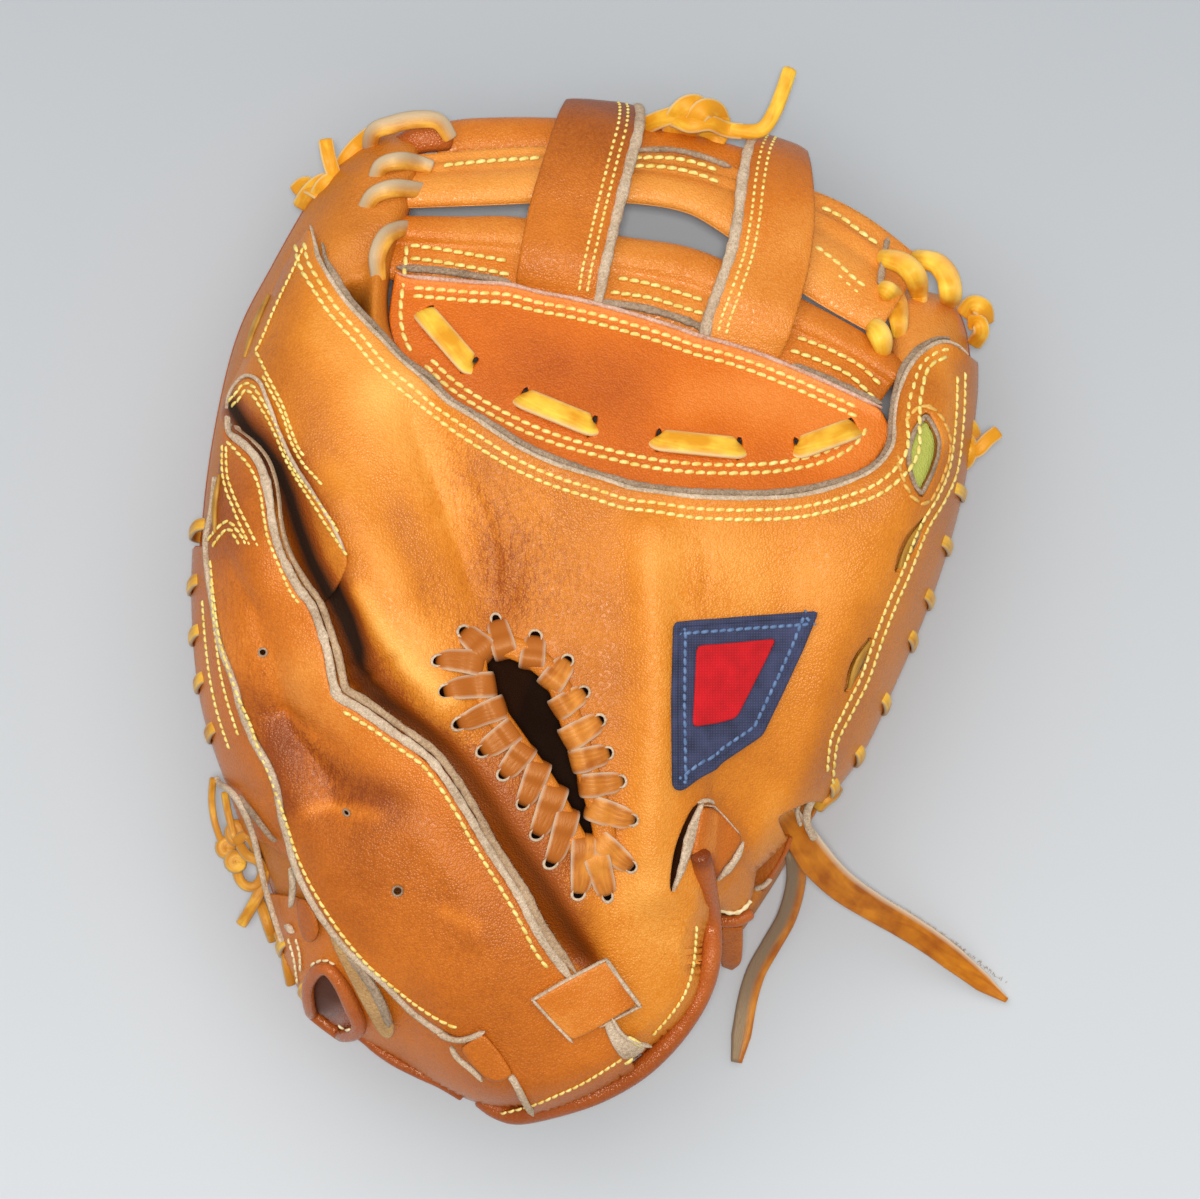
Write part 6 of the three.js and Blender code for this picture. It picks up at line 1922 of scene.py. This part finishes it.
def loop_and_keepers():
    cut_leather("wrist_loop_leather", WRIST_LOOP, TOP_ONE - 0.4, "back", LOOP_TAN, ["wrist_loop"],
                thickness=1.8, spacing=1.4, curl=stroked(LOOP_CURL), tone=stroked(LOOP_TONES))
    cut_leather("keeper_leather", KEEPER, LAYER_THREE, "flap", FLAP_TAN, ["keeper_large"],
                thickness=2.0, spacing=1.4, curl=stroked(KEEPER_CURL), tone=stroked(KEEPER_TONES, 0.08))
    cut_leather("small_keeper_leather", SMALL_KEEPER, LAYER_THREE, "flap", FLAP_TAN,
                ["keeper_small"], thickness=2.0)
    cut_leather("tab_suede", TAB, LAYER_THREE + 0.2, "flap", SUEDE, ["suede_tab"], thickness=1.3,
                spacing=1.3)


loop_and_keepers()

# Raw edges at the wrist: a name, a row of pixels, a width, a lift and what they lie on
SUEDE_EDGES = [
    ("keeper_edge_left", [(533, 997), (552, 1018), (572, 1039)], 1.1, LAYER_THREE + 1.5, "flap"),
    ("keeper_edge_top", [(533, 997), (570, 976), (606, 957)], 0.9, LAYER_THREE + 1.5, "flap"),
    ("keeper_edge_right", [(606, 957), (622, 980), (640, 1004)], 1.3, LAYER_THREE + 1.5, "flap"),
    ("keeper_edge_bottom", [(600, 1024), (620, 1014), (640, 1004)], 0.8, LAYER_THREE + 0.9, "flap"),
    ("small_keeper_edge", [(452, 1046), (458, 1056), (470, 1066), (482, 1078)], 1.5, LAYER_THREE + 0.6, "flap"),
    ("flap_tip_suede", [(440, 1032), (456, 1038), (470, 1036), (484, 1030)], 1.7, LAYER_THREE + 1.0, "flap"),
    ("hem_strip_suede", [(510, 1073), (520, 1090), (533, 1112)], 2.4, LAYER_THREE + 0.6, "flap"),
    ("tab_strip_suede", [(612, 1016), (622, 1032), (636, 1040), (650, 1044)], 1.1, LAYER_THREE + 1.9, "flap"),
    ("slit_suede_left", [(701, 803), (696, 816), (691, 832), (686, 850), (680, 870), (673, 888)],
     [1.2, 3.0, 4.0, 3.0, 2.0, 0.8], TOP_ONE + 0.2, "back"),
    ("slit_suede_top", [(699, 801), (706, 799), (712, 802)], 1.3, TOP_ONE + 0.5, "back"),
    ("slit_suede_right", [(742, 842), (737, 854), (729, 866), (718, 878)],
     [1.0, 2.3, 2.3, 0.8], TOP_ONE + 1.6, "back"),
    ("loop_edge_suede", [(704, 804), (718, 810), (738, 832)], 0.5, TOP_ONE + 1.5, "back"),
]
KEEPER_SEAM = marked("flap", LAYER_THREE, (627, 1030), (640, 1042), (652, 1046))
TAB_SEAM = marked("flap", LAYER_THREE, (622, 1059), (630, 1054), (637, 1051))


def wrist_suede():
    for name, pixels, width, lift, on in SUEDE_EDGES:
        line = marked(on, lift, *pixels)
        suede_edge(name, line, width, lift, on)
        if "keeper" in name or "strip" in name or "left" in name:
            fringe_along(name + "_fibres", line, lift, on, 1 if "keeper" in name else -1, 40, 1.0)


wrist_suede()
sew("keeper_stitch", [(KEEPER_SEAM, LAYER_THREE + 2.2, "flap")], 4.4)
sew("tab_stitch", [(TAB_SEAM, LAYER_THREE + 1.8, "flap")], 3.2)

PIPING_RADIUS = 3.1
PIPING_BUMP = plan((0, 957))[0, 1]
PIPING_LINE = [
    (482, 1099), (498, 1110), (520, 1115), (560, 1106), (600, 1092), (638, 1070), (668, 1042), (691, 1011),
    (705, 982), (711, 955), (711.5, 935), (710.5, 915), (708, 895), (705, 876), (702, 862), (700, 854),
]


def wrist_piping():
    """The piping follows the hem, and its last stations climb on to the back."""
    line = along(plan(*PIPING_LINE), 2.0)
    u, _ = locate(*line.T)
    height = section_at(u)["hem_height"] + 2.0
    path = np.concatenate([line, height[:, None]], 1)
    top, _ = lay(settled(line[-14:], TOP_ONE + 2.4), TOP_ONE + 2.4)
    path[-14:] = mix(path[-14:], top, ease(0, 1, np.linspace(0, 1, 14))[:, None])
    path[:, 2] += 5.0 * np.exp(-(((path[:, 1] - PIPING_BUMP) / 7.0) ** 2))
    for _ in range(3):
        path[1:-1, 2] = (path[:-2, 2] + 2 * path[1:-1, 2] + path[2:, 2]) / 4
    path = along(path, 0.9)
    # Painted shade at the piping's top end, where it goes under the loop
    tones = -0.45 * ease(len(path) - 7, len(path) - 1, np.arange(len(path)))
    sweep("piping_hide", path, (0.2, 0.2, 1), disc(PIPING_RADIUS, 18), PIPING, "piping_leather", ["wrist_piping"],
          ends=0.35, tones=tones)


wrist_piping()


# The heel's cuff: rows of points from its top down, each run the same way
CUFF = [
    route((712, 888, 86.0), (720, 878, 85.8), (732, 866, 85.4), (744, 850, 85.0),
          (751, 838, 84.6), (756, 826, 84.0)),
    route((716, 896, 83.0), (727, 887, 82.6), (738, 874, 82.2), (748, 857, 81.8),
          (754, 842, 81.6), (758, 829, 81.0)),
    route((719, 904, 77.4), (733, 898, 76.8), (745, 885, 76.2), (752, 866, 76.4),
          (757, 846, 77.0), (761, 831, 77.6)),
    route((721, 910, 71.2), (737, 910, 70.2), (749, 899, 69.8), (755, 873, 70.2),
          (759, 849, 71.6), (763, 833, 73.0)),
    route((721, 911, 64.0), (738, 911, 63.0), (750, 900, 62.6), (756, 874, 63.4),
          (760, 850, 65.6), (764, 834, 68.0)),
]
CUFF_SEAM = along(
    route((719, 909, 72.0), (728, 912, 70.8), (737, 912, 70.2), (744, 908, 70.2), (750, 901, 70.4)), 0.7)
HEEL_BINDING = along(route((718, 920, 63), (730, 921, 63.6), (740, 919, 63.6), (749, 914, 63)), 0.6)
HEEL_TAB = along(route((732, 926, 60), (732, 944, 54), (731, 958, 49), (728, 968, 45)), 0.9)
WRIST_BAND = along(route((780, 834, 63), (776, 852, 60), (768, 868, 55.4), (757, 886, 50.4)), 0.9)


def picked(line, count):
    """Some stations of a fine line, evenly apart."""
    return line[np.linspace(0, len(line) - 1, count).astype(int)]


def heel_cuff(across=26, down=14):
    """A skin drawn through the cuff's rows, with the leather's thickness below it."""
    lines = np.array([picked(along(row, 0.3), across) for row in CUFF])
    top = np.stack([picked(along(lines[:, k], 0.25), down) for k in range(across)], 1)
    up = np.cross(np.gradient(top, axis=0), np.gradient(top, axis=1))
    up /= np.linalg.norm(up, axis=-1, keepdims=True) + 1e-9
    up *= np.sign(up[..., 2:].mean())
    points, faces = shell(top, top - up * 1.8)
    obj = mesh_piece("cuff_leather", points, faces, [TAN], tones={"tone": np.full(len(points), -0.10)})
    finish_piece(recalculated(obj), ["heel_cuff"])


def heel_trim():
    twist = 1 + 0.28 * np.sin(np.arange(len(CUFF_SEAM)) * 1.6)
    sweep("cuff_thread", CUFF_SEAM, (0, -0.5, 1), rounded(1.3, 1.1, 10, 2), PALE_THREAD, "tan_leather",
          scale=twist)
    sweep("heel_binding_hide", HEEL_BINDING, (0, 0, 1), disc(1.95, 12), PIPING, "piping_leather", ["heel_binding"])
    narrowing = np.interp(np.linspace(0, 1, len(HEEL_TAB)), [0, 0.8, 1], [1, 1, 0.55])
    sweep("heel_tab_leather", HEEL_TAB, (0, 0, 1), rounded(6.6, 2.2, 18, 4), STRAP_TAN, "tan_leather",
          ["heel_tab"],
          scale=narrowing, ends=0.15, tones=-0.34)
    # The band is darkened as painted shade, where it lies under the pad's side and the thong
    sweep("wrist_band_leather", WRIST_BAND, (0, 0, 1), rounded(6.0, 2.2, 18, 4), STRAP_TAN, "tan_leather",
          ["wrist_band"], ends=0.15, tones=-0.3)


heel_cuff()
heel_trim()

# Edges round the band and the thongs' hole, and a painted shadow in the hole's mouth: a name, a route, a width and
# a finish
BAND_EDGES = [
    ("band_edge_hide", route((790, 838, 64), (785, 852, 61.6), (776, 868, 57), (766, 882, 53)), 1.5, PIPING),
    ("band_end_suede", route((770, 880, 54.5), (764, 886, 54), (757, 889, 53)), 1.6, SUEDE),
    ("thong_hole_suede", route((822, 786, 66), (813, 798, 67), (807, 812, 66), (808, 826, 64), (814, 838, 60)),
     2.4, SUEDE),
    ("thong_hole_lip", route((800, 800, 66), (797, 812, 66), (800, 824, 64)), 1.4, SUEDE),
    # A strip of dark lining leather laid in the thong's hole as a painted shadow
    ("thong_mouth_painted_shadow",
     route((784, 791, 71), (773, 799, 70.6), (766, 811, 69.6), (764, 825, 68.4), (766, 838, 66.4)), 2.6, SHADED_LINING),
]


def band_edges():
    for name, rows, width, finish in BAND_EDGES:
        sweep(name, along(rows, 0.7), (0, 0, 1), rounded(width, 1.8, 12, 2.4), finish, "tan_leather")


def thong_fibres():
    """Loose fibres along the raw edge of the first thong."""
    line = along(THONGS["wrist_thong_1"], 0.8)[8:-3]
    fringe("thong_1_fibres", line + np.array([0.55, 0.8, 0.0]) * 3.9,
           np.broadcast_to(np.array([0.1, 0, 1.0]), line.shape), 1, 300, 1.3)


band_edges()
thong_fibres()


# Little finger's loop, with its tongues
LOOP_RING = marked(
    "flap", LAYER_TWO + 1.3, (308, 990), (313, 976), (322, 968), (331, 970), (342, 984), (351, 1002), (359, 1022),
    (356, 1032), (343, 1034), (326, 1026), (313, 1012))
TONGUE = marked("flap", LAYER_TWO + 2, (296, 896), (306, 898), (316, 914), (320, 932),
                (314, 943), (304, 942), (298, 925))
SUEDE_TONGUE = marked(
    "flap", LAYER_TWO + 2.6, (328, 934), (344, 938), (356, 954), (368, 972), (380, 990), (390, 1012), (395, 1034),
    (388, 1042), (378, 1034), (364, 1008), (350, 980), (338, 956))


def pinky_loop():
    ring = along(LOOP_RING, 0.8, closed=True)
    points, ups = lay(ring, LAYER_TWO + 1.3, "flap")
    share = np.linspace(0, 2 * np.pi, len(ring), endpoint=False)
    plump = 1 + 0.35 * np.exp(-(((share - 2.6) / 1.1) ** 2))
    sweep("loop_hide", points, ups, disc(1.9, 14), PIPING, "piping_leather", ["pinky_loop"],
          closed=True, scale=plump)


def loop_shade(spots):
    """Painted shade inside the loop, paler towards the heel."""
    return -1.15 + 0.9 * ease(-2, 7, (spots - LOOP_RING.mean(0)) @ np.array([0.6, -0.8]))


def tongues():
    # A sheet inside the loop, coloured dark as painted shade
    cut_leather("loop_shade_sheet", wound(LOOP_RING), LAYER_TWO - 1.2, "flap", PIPING, thickness=1.2,
                spacing=1.4, tone=loop_shade)
    cut_leather("tongue_hide", TONGUE, LAYER_TWO, "flap", LOOP_TAN, ["leather_tongue"],
                thickness=2.0, spacing=1.2, tone=stroked([], -0.12))
    cut_leather("tongue_suede", SUEDE_TONGUE, LAYER_TWO + 0.6, "flap", TONGUE_SUEDE,
                ["suede_tongue"], thickness=2.0, spacing=1.2)


pinky_loop()
tongues()

# Raw edges at the heel: a name, a row of pixels, widths, a lift and a finish
HEEL_EDGES = [
    ("tongue_shade_suede", [(350, 956), (366, 975), (380, 998), (390, 1024)],
     [1.0, 3.0, 3.2, 2.4], LAYER_TWO + 2.5, GREY_SUEDE),
    ("heel_strip_suede",
     [(218, 776), (232, 792), (245, 812), (254, 836), (260, 862), (267, 892), (276, 922), (282, 940)],
     [2.0, 2.8, 2.8, 2.2, 1.8, 1.4, 1.4, 0.8], LAYER_TWO + 1.4, SUEDE),
    ("heel_gap_suede", [(240, 796), (256, 816), (270, 834), (276, 840)],
     [1.0, 1.8, 1.6, 0.6], LAYER_TWO + 0.4, GREY_SUEDE),
    ("rivet_suede", [(287, 925), (293, 931)], 2.6, LAYER_TWO + 0.2, SUEDE),
    ("tongue_root_suede", [(292, 868), (294, 885), (292, 905)], [1.4, 2.4, 1.6], LAYER_TWO + 1.6, SUEDE),
]
LOOP_SEAMS = [
    ([(310, 966), (318, 961), (328, 960), (338, 966)], TOP_ONE + 0.5),
    ([(338, 1025), (346, 1030), (358, 1026)], TOP_TWO + 0.4),
    ([(288, 938), (294, 960), (297, 985)], TOP_ONE + 0.6),
    ([(296, 938), (300, 955), (300, 975)], TOP_ONE + 0.6),
    ([(311, 1004), (316, 1014), (324, 1022)], TOP_ONE + 0.6),
]


def heel_edges():
    for name, pixels, widths, lift, finish in HEEL_EDGES:
        suede_edge(name, marked("flap", lift, *pixels), widths, lift, "flap", finish=finish)


heel_edges()
sew("loop_stitches", [(marked("flap", lift, *pixels), lift, "flap") for pixels, lift in LOOP_SEAMS],
    2.0, PALE_THREAD)
tied("heel_laces", [
    (route((258, 900, 47), (262, 910, 50), (268, 928, 50.5), (272, 940, 47)), 3.4, 2.2),
    (route((272, 916, 46), (276, 930, 49), (281, 944, 49), (282, 950, 46)), 2.8, 2.0),
    (route((282, 938, 46), (284, 948, 50), (287, 968, 50.5), (290, 984, 47)), 3.2, 2.2),
    (route((304, 982, 46), (304, 992, 49.5), (308, 1006, 49.5), (311, 1014, 46)), 3.0, 2.0),
    (route((818, 806, 58), (824, 800, 60), (832, 794, 59), (836, 788, 55)), 4.6, 2.8),
], finish=TIE_HIDE)
LOWER_BINDING = route(
    (352, 1030, 50), (364, 1038, 49), (378, 1050, 49), (396, 1062, 50), (420, 1074, 51),
    (440, 1083, 51), (462, 1096, 51))
sweep("lower_binding_hide", along(LOWER_BINDING, 0.8), (0, 0, 1), disc(1.8, 14), PIPING,
      "piping_leather", ends=0.3)


# Welts in the outer seam
def welt(name, low, high, shown, replaces):
    """A welt from one u to another, out in the open only along its shown part."""
    u = np.linspace(low, high, int((high - low) * 14))
    out = mix(-0.8, 0.8, ease(shown[0] - 0.6, shown[0] + 0.2, u) * (1 - ease(shown[1] - 0.2, shown[1] + 0.6, u)))
    points, _ = lifted(u, np.zeros(len(u)), out, BACK_FOLDS)
    points[:, 2] = section_at(u)["seam"] - 1.9
    sweep(name, points, (0, 0, 1), disc(1.25, 12), PIPING, "piping_leather", replaces)


welt("finger_welt_hide", 0.5, 11.4, (5.8, 7.5), ["rim_welt_fingers"])
welt("thumb_welt_hide", 17.2, 23.5, (17.2, 18.6), ["rim_welt_thumb"])

# Floor and light
def table_finish():
    """A grey table, with painted light: paler towards the viewer and darker away from it."""
    finish, tree, shader, place = new_finish("table")
    speck = cloud(tree, place, 3.0, 2)
    axes = add_node(tree, "SeparateXYZ")
    wire(tree, place, axes.inputs[0])
    # Painted light: the table's colour grows paler towards the viewer, as under a light on that side
    nearness = spread(tree, axes.outputs[1], -0.20, 0.20, 1.0, 0.0)
    shaded_far_side = tint(tree, speck, (0.385, 0.405, 0.42), (0.405, 0.425, 0.44))
    lit_near_side = tint(tree, speck, (0.575, 0.60, 0.61), (0.605, 0.625, 0.635))
    wire(tree, tint(tree, nearness, shaded_far_side, lit_near_side), shader.inputs["Base Color"])
    shader.inputs["Roughness"].default_value = 0.75
    return finish


def table():
    bpy.ops.mesh.primitive_plane_add(size=6)
    floor = bpy.context.object
    floor.name = "floor"
    floor.data.materials.append(table_finish())
    deselect()


def light(name, kind, power):
    lamp = bpy.data.lights.new(name, kind)
    lamp.energy = power
    obj = bpy.data.objects.new(name, lamp)
    bpy.context.scene.collection.objects.link(obj)
    return lamp, obj


def lights():
    """A soft window, a small sun straight above and a pale room."""
    lamp, window = light("window", "AREA", 8.5)
    lamp.shape = "DISK"
    lamp.size = 1.5
    window.location = WINDOW_PLACE
    window.rotation_euler = (Vector(WINDOW_AIM) - Vector(WINDOW_PLACE)).to_track_quat("-Z", "Y").to_euler()
    sun, _ = light("overhead", "SUN", 1.55)
    sun.angle = 0.08
    world = bpy.data.worlds.new("room")
    world.use_nodes = True
    backdrop = world.node_tree.nodes["Background"]
    backdrop.inputs[0].default_value = (0.80, 0.82, 0.85, 1)
    backdrop.inputs[1].default_value = 0.52
    bpy.context.scene.world = world
    bpy.context.scene.view_settings.view_transform = "Standard"


WINDOW_PLACE, WINDOW_AIM = (-0.14, 0.33, 1.25), (0, 0, 0.05)
table()
lights()
